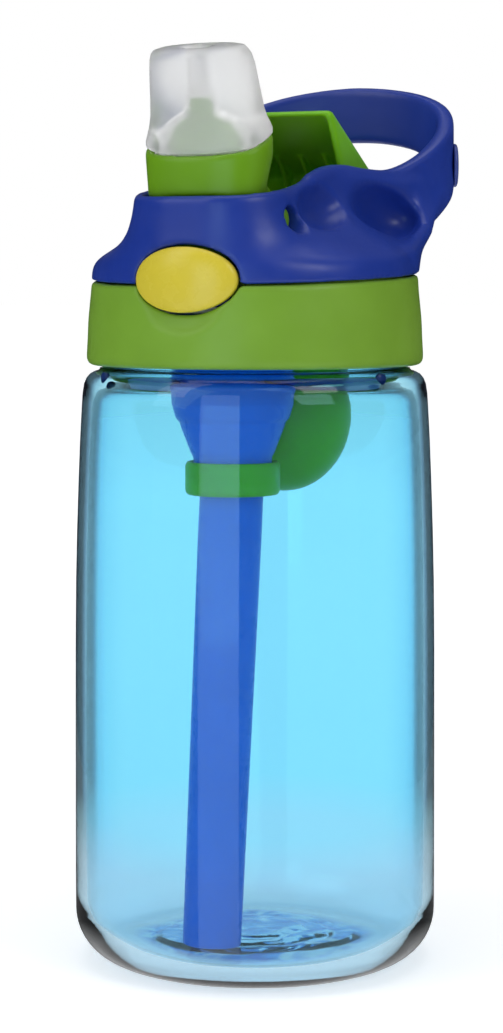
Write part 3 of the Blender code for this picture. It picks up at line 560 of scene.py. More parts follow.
def make_shell():
    h = 0.5
    g = Grid((-0.5 * h - 37.0, -35.0, 135.0), (37.0 + 0.5 * h, 56.5, 180.5), h)
    x, y, z = np.abs(g.x), g.y, g.z
    lo = seam(y, 0.15)
    rim = np.interp(g.ax[1], RIM_Y, RIM_Z)
    for _ in range(4):
        rim[1:-1] = 0.25 * rim[:-2] + 0.5 * rim[1:-1] + 0.25 * rim[2:]
    hi = rim[None, :, None].astype(np.float32)
    level = (z - lo) / (hi - lo) * 16.6
    fine = np.linspace(0, 24, 241)
    sh = np.interp(fine, COVE_Z, COVE_S)
    ker = np.ones(17) / 17
    sh = np.convolve(np.pad(sh, 8, mode="edge"), ker, mode="valid")
    s = np.interp(level, fine, sh).astype(np.float32)
    base = np.hypot(x, y) - 33.15
    top = rrect(x, y, 16.0, 31.6, 33.2, 12.5, 6.0)
    body = (1 - s) * base + s * top
    body = true_scale(body, h)
    wall = smax(body, z - hi, 1.6)
    # loop: a band that follows a curve in plan, with its own foot and crest
    path = spline(LOOP, 10)
    X, Y = np.meshgrid(np.abs(g.ax[0]), g.ax[1], indexing="ij")
    best = np.full(X.shape, 1e9)
    za, zb, th = (np.zeros(X.shape) for _ in range(3))
    for a, b in zip(path[:-1], path[1:]):
        e = b[:2] - a[:2]
        t = np.clip(((X - a[0]) * e[0] + (Y - a[1]) * e[1]) / max(e @ e, 1e-9), 0, 1)
        d = np.hypot(X - a[0] - t * e[0], Y - a[1] - t * e[1])
        m = d < best
        best = np.where(m, d, best)
        za = np.where(m, a[2] + t * (b[2] - a[2]), za)
        zb = np.where(m, a[3] + t * (b[3] - a[3]), zb)
        th = np.where(m, a[4] + t * (b[4] - a[4]), th)
    best, za, zb, th = (v[:, :, None].astype(np.float32) for v in (best, za, zb, th))
    mid, half = (za + zb) / 2, (zb - za) / 2
    r = 1.35
    qx = best - (th / 2 - r)
    qz = np.abs(z - mid) * 0.93 - (half - r)
    loop = np.hypot(np.maximum(qx, 0), np.maximum(qz, 0)) + np.minimum(np.maximum(qx, qz), 0) - r
    # strut: a web from the skirt up to the loop's side
    near = np.nonzero(((x > 17) & (y > -2) & (y < 45) & (z < 164)) & (g.x > -1e9))
    px = np.stack([np.abs(g.ax[0][near[0]]), g.ax[1][near[1]], g.ax[2][near[2]]], 1).astype(np.float32)
    A, B, C, D = (30.2, 7.0, 140.6), (26.4, 17.6, 140.6), (23.6, 26.5, 155.0), (24.9, 37.0, 157.0)
    E = (28.2, 22.0, 146.6)
    d1 = tri_distance(px, A, B, E)
    d2 = tri_distance(px, B, C, E)
    d3 = tri_distance(px, E, C, D)
    strut = np.full(wall.shape, 20.0, dtype=np.float32)
    strut[near] = np.minimum(np.minimum(d1, d2), d3) - 1.7
    f = smin(wall, loop, 2.6)
    f = smin(f, strut, 3.2)
    # solid shoulder between the pocket and the loop's side
    xs = np.interp(g.ax[1], [-10, 0, 7, 14, 20, 26, 30, 34], [12, 15.5, 18.5, 21.5, 24.2, 25.6, 25.4, 22.0])[None, :, None].astype(np.float32)
    top_fill = np.interp(g.ax[1], [-10, 5, 15, 24, 31], [150, 156.6, 156.4, 156.6, 155.0])[None, :, None].astype(np.float32)
    fill = smax(smax(x - xs, z - top_fill, 1.5), smax(smax(y - 31.0, -4.0 - y, 1.0), 140.0 + 7.0 * sstep((y - 18.0) / 9.0) - z, 1.5), 2.5)
    f = smin(f, fill, 2.5)
    # hollow skirt below
    inner = body + 2.3
    skirt = smax(inner, z - (144.0 + 0.02 * y), 1.0)
    f = smax(f, -skirt, 0.5)
    # pocket for spout and cover
    pocket = rrect(x, y, 13.6, 29.8, 31.0, 10.0, 2.0)
    f = smax(f, -smax(pocket, 134.0 - z, 0.1), 1.3)
    # finger scoops either side of the ridge
    c4, s4 = math.cos(math.radians(6)), math.sin(math.radians(6))
    yy, zz = y + 9.0, z - 151.3
    f = smax(f, -ell3(x - 19.9, yy * c4 + zz * s4, -yy * s4 + zz * c4, 4.9, 9.4, 5.2), 0.9)
    c2, s2 = math.cos(math.radians(-14)), math.sin(math.radians(-14))
    yy, zz = y - 11.6, z - 151.2
    f = smax(f, -ell3(x - 24.0, yy * c2 + zz * s2, -yy * s2 + zz * c2, 5.9, 12.0, 5.6), 1.1)
    # trunnion holes, cover pin holes, button hole
    tr = np.hypot(y - HINGE[0], z - HINGE[1]) - 2.75
    f = smax(f, -smax(tr, 12.0 - x, 0.1), 0.3)
    pn = np.hypot(y - PIN[0], z - PIN[1]) - 1.6
    f = smax(f, -smax(pn, x - 15.2, 0.1), 0.2)
    btn = ell3(g.x, 0 * y, z - BUTTON_Z, 11.15, 1e3, 6.72)
    f = smax(f, -smax(btn, y + 26.0, 0.1), 0.5)
    f = smax(f, lo - z, 0.5)
    return skin("blue_lid_shell", f, g)


shell = dress(make_shell(), M_blue, "lid", "royal_blue", "lid_shell")


# ============================================================================
# green screw collar
# ============================================================================
def make_collar():
    h = 0.5
    g = Grid((-36.0, -36.0, 117.6), (36.0, 36.0, 141.0), h)
    x, y, z = g.x, g.y, g.z
    rho = np.hypot(x, y)
    th = np.arctan2(y, x)
    hi = seam(y, -0.12)
    taper = 34.1 - 0.30 * sstep((z - 119.0) / 8.0) - 0.75 * sstep((z - 126.0) / 11.0)
    out = rho - taper
    f = smax(out, z - hi, 0.9)
    f = smax(f, COLLAR_Z0 - z, 2.0)
    d = (z - 1.0 - PITCH / 2 - PITCH * th / (2 * math.pi)) % PITCH
    d = np.minimum(d, PITCH - d)
    ridge = sstep((1.35 - d) / 0.8) * sstep((z - 120.1) / 1.4) * sstep((130.4 - z) / 1.4)
    bore = rho - (31.2 - 1.15 * ridge)
    f = smax(f, -bore, 0.25)
    # dished recess under the button
    dish = ell3(x, y + 34.3, z - (BUTTON_Z - 0.2), 12.9, 3.0, 10.2)
    f = smax(f, -dish, 0.45)
    btn = ell3(x, 0 * y, z - BUTTON_Z, 11.15, 1e3, 6.72)
    f = smax(f, -smax(btn, y + 26.0, 0.1), 0.4)
    return skin("green_screw_collar", f, g)


collar = dress(make_collar(), M_green, "lid", "leaf_green", "screw_collar")


# ============================================================================
# bottle
# ============================================================================
def thread_ring(r, z, phase, z0, z1, n, sign=1.0, height=1.2):
    out = []
    for i in range(n):
        a = 2 * math.pi * i / n
        d = (z - phase - PITCH * a / (2 * math.pi)) % PITCH
        d = min(d, PITCH - d)
        k = float(sstep((1.35 - d) / 0.8) * sstep((z - z0) / 1.4) * sstep((z1 - z) / 1.4))
        rr = r + sign * height * k
        out.append((rr * math.cos(a), rr * math.sin(a), z))
    return out


def make_bottle():
    n = 144
    outer = []
    for k in range(0, 13):
        a = math.radians(7.5 * k)
        outer.append((26.2 + 10.0 * math.sin(a), 10.0 * (1 - math.cos(a))))
    outer += [(36.25, 18.0), (36.3, 42.0), (36.3, 62.0), (36.2, 76.0), (36.0, 86.0), (35.7, 96.0),
              (35.4, 104.0), (35.1, 110.0), (34.9, 113.4), (34.6, 115.4), (34.1, 116.6), (33.4, 117.4),
              (32.5, 117.9), (31.8, 118.1), (31.5, 118.3), (31.4, 118.6), (30.4, 118.8), (29.5, 119.0), (29.3, 119.5)]
    z0, z1 = 120.3, 128.9
    neck = [thread_ring(29.3, z0 + (z1 - z0) * k / 24, 1.0, z0, z1, n) for k in range(25)]
    rim = [(29.3, 129.2), (29.1, 129.5), (27.0, 129.5), (26.8, 129.3)]
    inner = [(26.8, 119.4), (27.0, 118.6), (27.8, 117.6), (29.2, 116.9), (30.8, 116.3), (31.8, 115.4),
             (32.5, 114.0), (32.9, 112.0), (33.2, 108.0), (33.6, 100.0), (33.9, 90.0), (34.1, 80.0),
             (34.2, 65.0), (34.2, 45.0), (34.15, 20.0), (34.05, 13.0)]
    for k in range(1, 10):
        a = math.radians(90 - 10 * k)
        inner.append((25.4 + 8.65 * math.sin(a), 11.65 - 8.65 * math.cos(a)))
    # the floor inside is moulded in soft steps that wind towards the middle
    rings = [circle(r, z, n) for r, z in outer] + neck + [circle(r, z, n) for r, z in rim + inner]
    for r in [24.0, 22.0, 20.5, 19.5, 18.5, 17.0, 15.5, 14.5, 13.5, 12.0, 10.5, 9.5, 8.5, 7.0, 5.0, 3.0, 1.2]:
        ring = []
        for i in range(n):
            a = 2 * math.pi * i / n
            w = 1.1 * math.sin(3 * a + 0.22 * r) * min(1.0, r / 8.0)
            rr = r + w
            up = 0.0
            for edge, height in ((20.0, 0.75), (14.3, 0.75), (9.0, 0.75)):
                up += height * float(sstep((edge - rr + 0.7) / 1.4))
            ring.append((r * math.cos(a), r * math.sin(a), 3.0 + up))
        rings.append(ring)
    bm = loft(bmesh.new(), rings)
    ob = mesh_object("clear_bottle", bm)
    return ob


bottle = dress(make_bottle(), M_cyan, "bottle", "clear_cyan", "bottle_body")


def make_lugs():
    """Small drop-shaped stops on the shoulder, just below the collar."""
    bm = bmesh.new()
    n = 24
    for deg in (-127.0, -18.0, 108.0):
        a = math.radians(deg)
        er, et = Vector((math.cos(a), math.sin(a), 0)), Vector((-math.sin(a), math.cos(a), 0))
        rings = []
        for k in range(1, 16):
            t = math.pi * k / 16
            wide = math.sin(t) * (1.0 - 0.25 * math.cos(t))
            c = er * 33.35 + Vector((0, 0, 117.0 - 1.25 * math.cos(t)))
            rings.append([c + er * (0.75 * wide * math.cos(2 * math.pi * i / n)) + et * (1.35 * wide * math.sin(2 * math.pi * i / n)) for i in range(n)])
        loft(bm, rings)
    return mesh_object("shoulder_stops", bm)


# the stops belong to the clear bottle but are drawn in opaque dark navy: painted shade for how dark they look through
# the clear wall
M_stop_painted_shade = moulded("stop_painted_shade", srgb(16, 48, 108), 0.3, 0.05, 0.02)
stops = dress(make_lugs(), M_stop_painted_shade, "bottle", "clear_cyan")


# ============================================================================
# parts hanging inside the bottle
# ============================================================================
def make_funnel():
    h = 0.4
    g = Grid((-14.0, -24.5, 92.8), (14.0, 3.5, 138.0), h)
    x, y, z = g.x, g.y, g.z
    rho = np.hypot(x, y - FUNNEL_Y)
    zz = np.array([92.0, 94.4, 101.2, 101.8, 106.8, 107.3, 108.3, 108.9, 109.4, 112.0, 116.4, 117.2, 118.8, 119.2, 121.0])
    rr = np.array([7.6, 7.6, 7.8, 8.2, 10.1, 10.3, 10.4, 11.0, 11.3, 12.0, 12.2, 12.5, 12.5, 12.3, 12.3])
    R = np.interp(g.ax[2], zz, rr)[None, None, :].astype(np.float32)
    out = (rho - R) * 0.92
    f = smax(out, z - 119.25, 0.5)
    f = smax(f, 94.3 - z, 0.4)
    stem = np.hypot(x, y - STEM_Y) - 4.6
    stem = smax(stem, z - 136.4, 0.5)
    stem = smax(stem, 118.0 - z, 0.1)
    groove = np.hypot(np.hypot(x, y - STEM_Y) - 4.6, z - 123.2) - 0.85
    stem = smax(stem, -groove, 0.2)
    f = smin(f, stem, 0.8)
    zi = np.array([90.0, 101.2, 107.4, 110.0, 112.2, 117.4, 117.8])
    ri = np.array([6.7, 6.75, 9.1, 10.0, 10.9, 11.0, 11.0])
    Ri = np.interp(g.ax[2], zi, ri)[None, None, :].astype(np.float32)
    hollow = smax((rho - Ri) * 0.92, z - 117.7, 0.6)
    f = smax(f, -hollow, 0.3)
    f = smax(f, -smax(np.hypot(x, y - STEM_Y) - 3.1, 116.0 - z, 0.2), 0.3)
    return skin("blue_funnel", f, g)


funnel = dress(make_funnel(), M_straw, "lid", "straw_blue", "straw_funnel")


def turned(name, profile, n, cx=0.0, cy=0.0, closed=True, tight=0.35):
    prof = profile
    if closed:
        prof = fair([profile[-1]] + list(profile) + [profile[0]], tight=tight)[1:-1]
    else:
        prof = fair(profile, tight=tight)
    return mesh_object(name, loft(bmesh.new(), [circle(r, z, n, cx, cy) for r, z in prof], closed))


ring_piece = turned("green_funnel_ring", [(8.0, 94.0), (8.9, 93.6), (9.4, 94.4), (9.4, 99.6), (8.9, 100.4), (8.0, 100.0)],
                    72, 0.0, FUNNEL_Y, True, 0.5)
dress(ring_piece, M_well, "lid", "leaf_green", "funnel_ring")


def make_straw():
    a, b = Vector((0.0, -10.4, 99.2)), Vector((0.0, -20.0, 5.0))
    ax = (b - a).normalized()
    u = Vector((1, 0, 0))
    v = ax.cross(u).normalized()
    n = 64
    rows = []
    prof = [(0.0, 5.9), (0.002, 6.2), (0.02, 6.3), (0.15, 6.3), (0.4, 6.12), (0.7, 5.86), (0.985, 5.66), (0.997, 5.6), (1.0, 5.4),
            (1.0, 4.75), (0.997, 4.6), (0.98, 4.56), (0.5, 4.7), (0.02, 4.85), (0.0, 5.0)]
    for t, r in prof:
        c = a.lerp(b, t)
        rows.append([c + u * (r * math.cos(2 * math.pi * i / n)) + v * (r * math.sin(2 * math.pi * i / n)) for i in range(n)])
    return mesh_object("blue_straw", loft(bmesh.new(), rows, True))


straw = dress(make_straw(), M_straw, "lid", "straw_blue", "straw")


def make_well():
    n = 96

    def ell(k, z):
        return circle(14.4 * k, z, n, 0, WELL_Y, 12.1 * k)
    rows = []
    for ang in range(3, 90, 6):
        t = math.radians(ang)
        rows.append(ell(math.sin(t), 109.0 - 16.4 * math.cos(t)))
    rows += [ell(1.0, 109.0), ell(0.995, 112.0), ell(0.975, 115.0), ell(0.955, 117.1)]
    for a, b, z in [(13.6, 11.75, 117.3), (13.75, 11.85, 117.7), (13.75, 11.85, 118.8), (13.5, 11.6, 119.1),
                    (11.2, 9.3, 119.2), (11.0, 9.1, 119.4), (11.0, 9.1, 122.3), (10.8, 8.9, 122.6), (10.1, 8.2, 122.6),
                    (9.9, 8.0, 122.3), (9.9, 8.0, 118.2), (10.3, 8.5, 117.6)]:
        rows.append(circle(a, z, n, 0, WELL_Y, b))
    for ang in range(88, 2, -6):
        t = math.radians(ang)
        rows.append(ell(0.9 * math.sin(t), 109.0 - 15.0 * math.cos(t)))
    return mesh_object("green_well", loft(bmesh.new(), rows))


well = dress(make_well(), M_well, "lid", "leaf_green", "mechanism_well")


# ============================================================================
# spout: green barrel and milky soft mouthpiece
# ============================================================================
def cup_plane(y, off=0.0):
    return 160.0 + 0.43 * (y + 28.9) + off


def sup(x, y, a, b, p):
    """Field of a superellipse in plan, near its edge."""
    v = (np.abs(x / a) ** p + np.abs(y / b) ** p) ** (1.0 / p)
    return (v - 1.0) * min(a, b)


def make_barrel():
    h = 0.34
    g = Grid((-16.2, -31.0, 137.4), (16.2, -6.4, 173.4), h)
    x, y, z = np.abs(g.x), g.y, g.z
    rx = np.hypot(y - HINGE[0], z - HINGE[1])
    R = np.interp(np.abs(g.ax[0]), [0, 6.2, 8.0, 9.4, 10.9], [9.2, 9.2, 8.8, 8.0, 6.6])[:, None, None].astype(np.float32)
    drum = smax((rx - R) * 0.9, x - 10.9, 1.2)
    t = np.clip((z - 152.6) / 8.0, 0, 1)
    a, b = 11.8 + 1.1 * t, 6.3 + 1.3 * t
    v = (np.abs(x / a) ** 2.5 + np.abs((y + 22.6 - 1.3 * t) / b) ** 2.5) ** 0.4
    side = true_scale((v - 1.0) * 8.0 + 0 * z, h)
    cup = smax(side, (z - cup_plane(y)) * 0.92, 0.7)
    cup = smax(cup, 152.6 - z, 0.8)
    f = smin(drum, cup, 1.6)
    seat = true_scale(((np.abs(x / 11.2) ** 2.5 + np.abs((y + 22.6) / 5.1) ** 2.5) ** 0.4 - 1.0) * 7.0 + 0 * z, h)
    f = smax(f, -smax(seat, (cup_plane(y, -2.6) - z) * 0.92, 0.3), 0.3)
    zz = g.ax[2]
    da = np.interp(zz, [157, 165, 167.2, 168.6, 169.4, 172], [8.3, 7.3, 5.6, 3.6, 2.9, 2.6])[None, None, :].astype(np.float32)
    db = np.interp(zz, [157, 165, 167.2, 168.6, 169.4, 172], [3.7, 3.7, 3.3, 2.9, 2.7, 2.4])[None, None, :].astype(np.float32)
    cy = np.interp(zz, [157, 165, 172], [-22.6, -22.9, -24.0])[None, None, :].astype(np.float32)
    dome = (np.sqrt((x / da) ** 2 + ((y - cy) / db) ** 2) - 1.0) * db * 0.8
    dome = smax(smax(dome, z - 172.0, 0.6), 157.5 - z, 0.2)
    f = smin(f, dome, 0.5)
    tr = smax(rx - 2.4, x - 15.3, 0.6)
    f = smin(f, tr, 0.6)
    ang = np.arctan2(z - HINGE[1], y - HINGE[0])
    tooth = smax(smax(rx - 11.2, 6.0 - rx, 0.3), np.maximum(np.abs(ang + 0.07) - 0.15, 0) * 9.0 + np.abs(x - 8.6) - 1.0, 0.3)
    f = smin(f, tooth, 0.4)
    # drink passage
    lo, hi = np.array([-16.9, 136.0]), np.array([-25.0, 176.0])
    e = (hi - lo) / np.linalg.norm(hi - lo)
    off = np.abs((y - lo[0]) * e[1] - (z - lo[1]) * e[0])
    f = smax(f, -(np.hypot(x, off) - 1.7), 0.25)
    return skin("green_spout_barrel", f, g)


barrel = dress(make_barrel(), M_green_in, "spout", "leaf_green", "spout_barrel")


def make_soft():
    n = 96

    def ring(a, b, cy, z, tilt, power=2.4):
        return [(x, y, z + tilt * (y - cy)) for x, y in superellipse(a, b, 0, cy, n, power)]
    outer = [ring(10.7, 4.65, -22.6, 160.6, 0.43), ring(10.8, 4.75, -22.6, 160.9, 0.43), ring(10.8, 4.75, -22.6, 162.9, 0.43),
             ring(11.2, 5.1, -22.6, 163.12, 0.43), ring(12.5, 7.2, -21.4, 163.65, 0.43), ring(12.9, 7.6, -21.3, 164.05, 0.43),
             ring(12.9, 7.65, -21.35, 164.8, 0.42), ring(12.6, 7.4, -21.5, 165.8, 0.40), ring(12.05, 7.0, -21.8, 167.3, 0.36),
             ring(11.6, 6.75, -22.2, 169.2, 0.32), ring(11.3, 6.5, -22.9, 172.1, 0.28),
             ring(11.05, 6.3, -23.7, 175.0, 0.26), ring(10.75, 6.05, -24.5, 178.0, 0.25), ring(10.4, 5.7, -25.2, 179.8, 0.25),
             ring(9.95, 5.15, -25.8, 180.8, 0.25), ring(9.4, 4.7, -25.95, 181.4, 0.25, 2.3),
             ring(8.2, 4.0, -26.0, 181.7, 0.25, 2.2), ring(4.0, 3.0, -26.05, 181.75, 0.25, 2.0),
             ring(2.7, 2.5, -26.1, 181.6, 0.25, 2.0), ring(2.35, 2.25, -26.05, 181.1, 0.25, 2.0)]
    inner = [ring(2.1, 2.1, -25.6, 178.5, 0.25, 2.0), ring(2.15, 2.15, -25.2, 176.0, 0.25, 2.0), ring(2.4, 2.3, -24.7, 173.6, 0.22, 2.0),
             ring(3.0, 2.8, -24.3, 172.5, 0.2, 2.0), ring(3.2, 2.9, -23.9, 170.6, 0.2, 2.0), ring(3.6, 3.1, -23.7, 169.6, 0.25, 2.0),
             ring(4.8, 3.5, -23.5, 168.9, 0.28, 2.1), ring(6.4, 3.9, -23.3, 168.0, 0.3, 2.2), ring(8.1, 4.2, -23.1, 166.4, 0.36, 2.2),
             ring(8.9, 4.3, -22.9, 164.4, 0.43, 2.3), ring(9.0, 4.25, -22.6, 160.6, 0.43, 2.3)]
    return mesh_object("milky_soft_spout", loft(bmesh.new(), outer + inner, True))


soft = dress(make_soft(), M_silicone, "spout", "milky_silicone", "soft_spout")


# ============================================================================
# flip cover, button
# ============================================================================
def poly_field(y, z, pts):
    """Signed distance to a polygon in the (y, z) plane."""
    d = np.full(np.broadcast(y, z).shape, 1e9, dtype=np.float32)
    s = np.ones(d.shape, dtype=np.float32)
    n = len(pts)
    for i in range(n):
        ay, az = pts[i]
        by, bz = pts[i - 1]
        ey, ez = by - ay, bz - az
        wy, wz = y - ay, z - az
        t = np.clip((wy * ey + wz * ez) / (ey * ey + ez * ez), 0, 1)
        d = np.minimum(d, (wy - ey * t) ** 2 + (wz - ez * t) ** 2)
        c1, c2, c3 = z >= az, z < bz, ey * wz > ez * wy
        flip = (c1 & c2 & c3) | (~c1 & ~c2 & ~c3)
        s = np.where(flip, -s, s)
    return s * np.sqrt(d)


def make_cover():
    h = 0.34
    g = Grid((-13.6, 7.8, 147.4), (13.6, 32.4, 172.2), h)
    x, y, z = np.abs(g.x), g.y, g.z
    outline = [(8.8, 169.6), (9.2, 170.8), (10.6, 171.0), (30.3, 160.0), (31.3, 158.6), (30.9, 157.0), (29.8, 155.6), (29.7, 154.0),
               (29.5, 150.4), (28.4, 148.6), (25.6, 148.7), (15.4, 158.3)]
    solid = poly_field(y, z, outline)
    solid = smax(solid, x - 12.9, 1.5)
    innerp = [(4.0, 172.0), (10.0, 169.5), (29.2, 158.9), (30.0, 158.0), (29.6, 157.0), (28.5, 155.6), (28.4, 153.6), (28.4, 140.0), (0.0, 140.0)]
    hollow = smax(poly_field(y, z, innerp), x - 11.65, 0.8)
    f = smax(solid, -hollow, 0.35)
    kn = np.hypot(y - PIN[0], z - PIN[1]) - 2.5
    f = smin(f, smax(smax(kn, x - 12.85, 0.4), 8.5 - x, 0.3), 0.5)
    for c in (0.0, 5.5):
        rib = poly_field(y, z, [(24.0, 162.4), (30.2, 158.8), (30.2, 157.4), (28.9, 154.2), (27.9, 154.4), (26.2, 158.2), (22.4, 162.4)])
        f = smin(f, smax(rib, np.abs(x - c) - 0.55, 0.3), 0.5)
    f = smax(f, -smax(kn + 0.9, x - 14.0, 0.1), 0.2)
    return skin("green_flip_cover", f, g)


cover = dress(make_cover(), M_green_cover_painted_light, "cover", "leaf_green", "flip_cover")


def make_button():
    n = 96

    def ring(s, out):
        pts = []
        for i in range(n):
            a = 2 * math.pi * i / n
            x = 10.8 * s * math.cos(a)
            zz = BUTTON_Z + 6.35 * s * math.sin(a)
            pts.append((x, -math.sqrt(33.2 ** 2 - x * x) - out, zz))
        return pts
    post = [[(2.0 * k * math.cos(2 * math.pi * i / n), yy, 135.8 + 2.0 * k * math.sin(2 * math.pi * i / n))
             for i in range(n)] for yy, k in ((-29.1, 0.85), (-29.4, 1.0), (-32.0, 1.0), (-32.3, 1.15))]
    rings = post + [ring(0.4, -1.3), ring(0.7, -1.3), ring(0.93, -1.3), ring(0.985, -1.15), ring(1.0, -0.8), ring(1.0, 0.05),
             ring(0.99, 0.3), ring(0.965, 0.5), ring(0.92, 0.72), ring(0.86, 0.92), ring(0.78, 1.1), ring(0.68, 1.27), ring(0.55, 1.42),
             ring(0.42, 1.53), ring(0.28, 1.61), ring(0.14, 1.65), ring(0.05, 1.66)]
    return mesh_object("yellow_push_button", loft(bmesh.new(), rings))


button = dress(make_button(), M_yellow, "button", "warm_yellow", "push_button")


def make_badge():
    n = 64
    rows = []
    for s, out in [(0.80, 0.35), (0.96, 0.40), (1.0, 0.55), (1.0, 0.85), (0.95, 1.12), (0.86, 1.28), (0.72, 1.36), (0.60, 1.30),
                   (0.5, 1.30), (0.3, 1.36), (0.1, 1.4)]:
        rows.append([(out, 3.9 * s * math.cos(2 * math.pi * i / n), 4.6 * s * math.sin(2 * math.pi * i / n)) for i in range(n)])
    bm = loft(bmesh.new(), rows)
    bmesh.ops.rotate(bm, verts=bm.verts, cent=(0, 0, 0), matrix=Matrix.Rotation(math.radians(25), 3, "Z"))
    bmesh.ops.translate(bm, verts=bm.verts, vec=(26.95, 41.0, 160.6))
    return mesh_object("blank_loop_badge", bm)


badge = dress(make_badge(), M_badge, "lid", "royal_blue", "handle_badge")

# CAD pieces that stay, with their finishes
FINISH = {"rim_gasket": M_seal, "lid_insert": M_blue, "stem_seal": M_seal, "vent_valve": M_seal, "port_seal": M_seal,
          "spout_spring_left": M_steel, "spout_spring_right": M_steel, "cover_pin": M_steel, "cover_spring": M_steel,
          "latch_slider": M_green, "button_spring": M_steel}
for name, mat in FINISH.items():
    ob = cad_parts[name]
    if not ob.material_slots:
        ob.data.materials.append(mat)
    for sl in ob.material_slots:
        sl.material = mat


# ============================================================================
# floor, light and camera
# ============================================================================
def turn(x, y, z, deg=25.0):
    """A place given in the camera's heading: x to the right, -y to the viewer."""
    a = math.radians(deg)
    return (x * math.cos(a) - y * math.sin(a), x * math.sin(a) + y * math.cos(a), z)


def make_floor():
    bm = bmesh.new()
    n = 96
    rows = [[bm.verts.new((r * math.cos(2 * math.pi * i / n), r * math.sin(2 * math.pi * i / n), -0.0002)) for i in range(n)]
            for r in (0.05, 0.2, 0.8, 3.0, 12.0)]
    for a, b in zip(rows, rows[1:]):
        for j in range(n):
            k = (j + 1) % n
            bm.faces.new((a[j], b[j], b[k], a[k]))
    bm.faces.new(rows[0])
    me = bpy.data.meshes.new("pale_floor")
    bm.to_mesh(me)
    bm.free()
    me.shade_smooth()
    ob = bpy.data.objects.new("pale_floor", me)
    scene.collection.objects.link(ob)
    m, nt, b = new_mat("floor_paper")
    geo = nt.nodes.new("ShaderNodeTexCoord")
    n1 = node(nt, "ShaderNodeTexNoise", Scale=3.0, Detail=2.0)
    nt.links.new(geo.outputs["Object"], n1.inputs["Vector"])
    c = ramp(nt, n1.outputs["Fac"], [(0.3, (0.88, 0.88, 0.885)), (0.7, (0.91, 0.91, 0.91))])
    nt.links.new(c.outputs["Color"], b.inputs["Base Color"])
    b.inputs["Roughness"].default_value = 0.9
    b.inputs["Specular IOR Level"].default_value = 0.1
    b.inputs["Emission Color"].default_value = (1.0, 1.0, 1.0, 1.0)
    path = nt.nodes.new("ShaderNodeLightPath")
    seen = nt.nodes.new("ShaderNodeMath")
    seen.operation = "MAXIMUM"
    nt.links.new(path.outputs["Is Camera Ray"], seen.inputs[0])
    nt.links.new(path.outputs["Is Transmission Ray"], seen.inputs[1])
    glow = nt.nodes.new("ShaderNodeMapRange")
    glow.inputs["To Min"].default_value = 0.12
    glow.inputs["To Max"].default_value = 0.80
    nt.links.new(seen.outputs[0], glow.inputs["Value"])
    out = nt.nodes.new("ShaderNodeVectorMath")
    out.operation = "LENGTH"
    nt.links.new(geo.outputs["Object"], out.inputs[0])
    even = nt.nodes.new("ShaderNodeMapRange")
    even.inputs["From Min"].default_value = 0.15
    even.inputs["From Max"].default_value = 1.10
    even.inputs["To Min"].default_value = 0.66
    even.inputs["To Max"].default_value = 1.0
    nt.links.new(out.outputs["Value"], even.inputs["Value"])
    lit = nt.nodes.new("ShaderNodeMath")
    lit.operation = "MULTIPLY"
    nt.links.new(glow.outputs["Result"], lit.inputs[0])
    nt.links.new(even.outputs["Result"], lit.inputs[1])
    nt.links.new(lit.outputs[0], b.inputs["Emission Strength"])
    me.materials.append(m)
    ob.visible_glossy = False
    ob.visible_shadow = False
    return ob


floor = make_floor()


def make_flag(name, side):
    """A black card at the side, out of sight, that gives the clear wall its dark edge."""
    bm = bmesh.new()
    pts = [turn(side * 0.072, y, z) for y, z in ((-0.05, 0.028), (0.34, 0.028), (0.34, 0.175), (-0.05, 0.175))]
    pts += [turn(side * 0.075, y, z) for y, z in ((-0.05, 0.028), (0.34, 0.028), (0.34, 0.175), (-0.05, 0.175))]
    v = [bm.verts.new(p) for p in pts]
    for q in ((0, 1, 2, 3), (7, 6, 5, 4), (0, 4, 5, 1), (1, 5, 6, 2), (2, 6, 7, 3), (3, 7, 4, 0)):
        bm.faces.new([v[i] for i in q])
    bmesh.ops.recalc_face_normals(bm, faces=bm.faces)
    me = bpy.data.meshes.new(name)
    bm.to_mesh(me)
    bm.free()
    ob = bpy.data.objects.new(name, me)
    scene.collection.objects.link(ob)
    m, nt, b = new_mat(name + "_felt")
    geo = nt.nodes.new("ShaderNodeTexCoord")
    n1 = node(nt, "ShaderNodeTexNoise", Scale=80.0, Detail=2.0)
    nt.links.new(geo.outputs["Object"], n1.inputs["Vector"])
    c = ramp(nt, n1.outputs["Fac"], [(0.3, (0.030, 0.034, 0.050)), (0.7, (0.045, 0.050, 0.070))])
    nt.links.new(c.outputs["Color"], b.inputs["Base Color"])
    b.inputs["Roughness"].default_value = 1.0
    b.inputs["Specular IOR Level"].default_value = 0.0
    me.materials.append(m)
    ob.visible_camera = False
    ob.visible_diffuse = False
    ob.visible_shadow = False
    ob.visible_transmission = False
    return ob


def area(name, loc, target, size, power, colour=(1, 1, 1), shape="RECTANGLE", visible=True):
    d = bpy.data.lights.new(name, "AREA")
    d.shape = shape
    d.size, d.size_y = size
    d.energy = power
    d.color = colour
    ob = bpy.data.objects.new(name, d)
    ob.location = loc
    ob.rotation_euler = (Vector(target) - Vector(loc)).to_track_quat("-Z", "Y").to_euler()
    scene.collection.objects.link(ob)
    return ob


make_flag("flag_left", -1)
make_flag("flag_right", 1)

area("key_left", turn(-0.80, -0.45, 0.75), (0, 0, 0.1), (0.55, 0.9), 2.3)
area("fill_right", turn(0.70, -0.70, 0.75), (0, 0, 0.1), (0.5, 0.5), 2.4)
area("top_soft", (0, 0, 1.25), (0, 0, 0), (1.0, 1.0), 4.2)
area("strip_front", turn(-0.205, -0.50, -0.02), turn(-0.007, -0.036, -0.02), (0.24, 0.62), 0.76, (0.62, 0.88, 1.0))

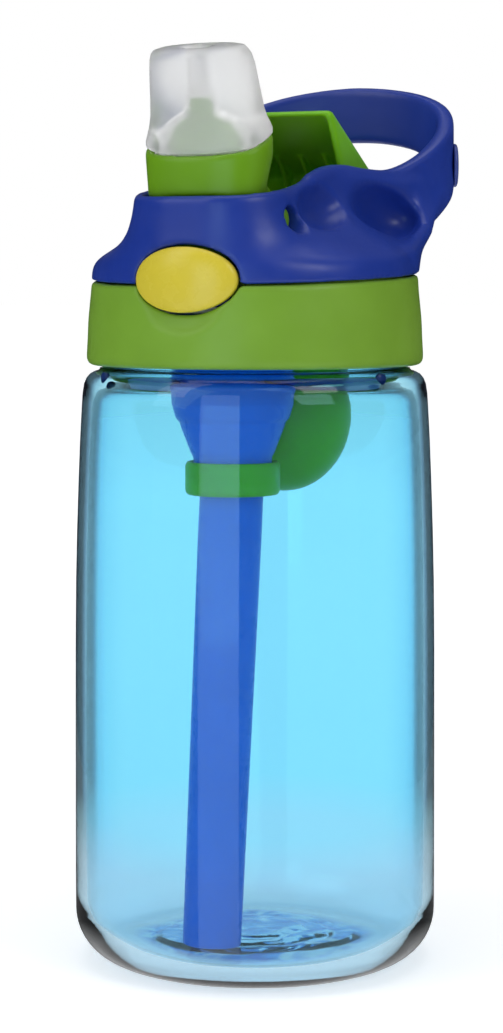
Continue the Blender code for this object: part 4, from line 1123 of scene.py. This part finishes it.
world = bpy.data.worlds.new("studio")
scene.world = world
world.use_nodes = True
wt = world.node_tree
bg = wt.nodes["Background"]
bg.inputs["Color"].default_value = (0.96, 0.98, 1.0, 1.0)
bg.inputs["Strength"].default_value = 0.26
bg2 = wt.nodes.new("ShaderNodeBackground")
lp0 = wt.nodes.new("ShaderNodeLightPath")
dim = wt.nodes.new("ShaderNodeMapRange")
dim.inputs["To Min"].default_value = 0.28
dim.inputs["To Max"].default_value = 0.10
wt.links.new(lp0.outputs["Is Glossy Ray"], dim.inputs["Value"])
# mirror reflections that point well down meet the white table
way = wt.nodes.new("ShaderNodeTexCoord")
part = wt.nodes.new("ShaderNodeSeparateXYZ")
wt.links.new(way.outputs["Generated"], part.inputs[0])
table = wt.nodes.new("ShaderNodeMapRange")
table.inputs["From Min"].default_value = -0.48
table.inputs["From Max"].default_value = -0.28
table.inputs["To Min"].default_value = 0.85
table.inputs["To Max"].default_value = 0.10
wt.links.new(part.outputs[2], table.inputs["Value"])
wt.links.new(table.outputs["Result"], dim.inputs["To Max"])
wt.links.new(dim.outputs["Result"], bg.inputs["Strength"])
bg2.inputs["Color"].default_value = (1.0, 1.0, 1.0, 1.0)
bg2.inputs["Strength"].default_value = 1.0
lp = wt.nodes.new("ShaderNodeLightPath")
either = wt.nodes.new("ShaderNodeMath")
either.operation = "MAXIMUM"
wt.links.new(lp.outputs["Is Camera Ray"], either.inputs[0])
wt.links.new(lp.outputs["Is Transmission Ray"], either.inputs[1])
mixw = wt.nodes.new("ShaderNodeMixShader")
wt.links.new(either.outputs[0], mixw.inputs["Fac"])
wt.links.new(bg.outputs[0], mixw.inputs[1])
wt.links.new(bg2.outputs[0], mixw.inputs[2])
wt.links.new(mixw.outputs[0], wt.nodes["World Output"].inputs["Surface"])

cam_data = bpy.data.cameras.new("camera")
cam_data.sensor_fit = "AUTO"
cam_data.sensor_width = 36.0
cam_data.lens = 92.8
# the verticals stand parallel, so the camera is level and the frame is shifted down
cam_data.shift_y = -0.2323
cam_data.clip_start = 0.01
cam_data.clip_end = 20.0
cam = bpy.data.objects.new("camera", cam_data)
cam.location = turn(-0.0007, -0.540, 0.137)
look = Vector(turn(-0.0007, 0.0, 0.137))
cam.rotation_euler = (look - Vector(cam.location)).to_track_quat("-Z", "Y").to_euler()
scene.collection.objects.link(cam)
scene.camera = cam
scene.view_settings.view_transform = "Standard"
scene.view_settings.look = "None"
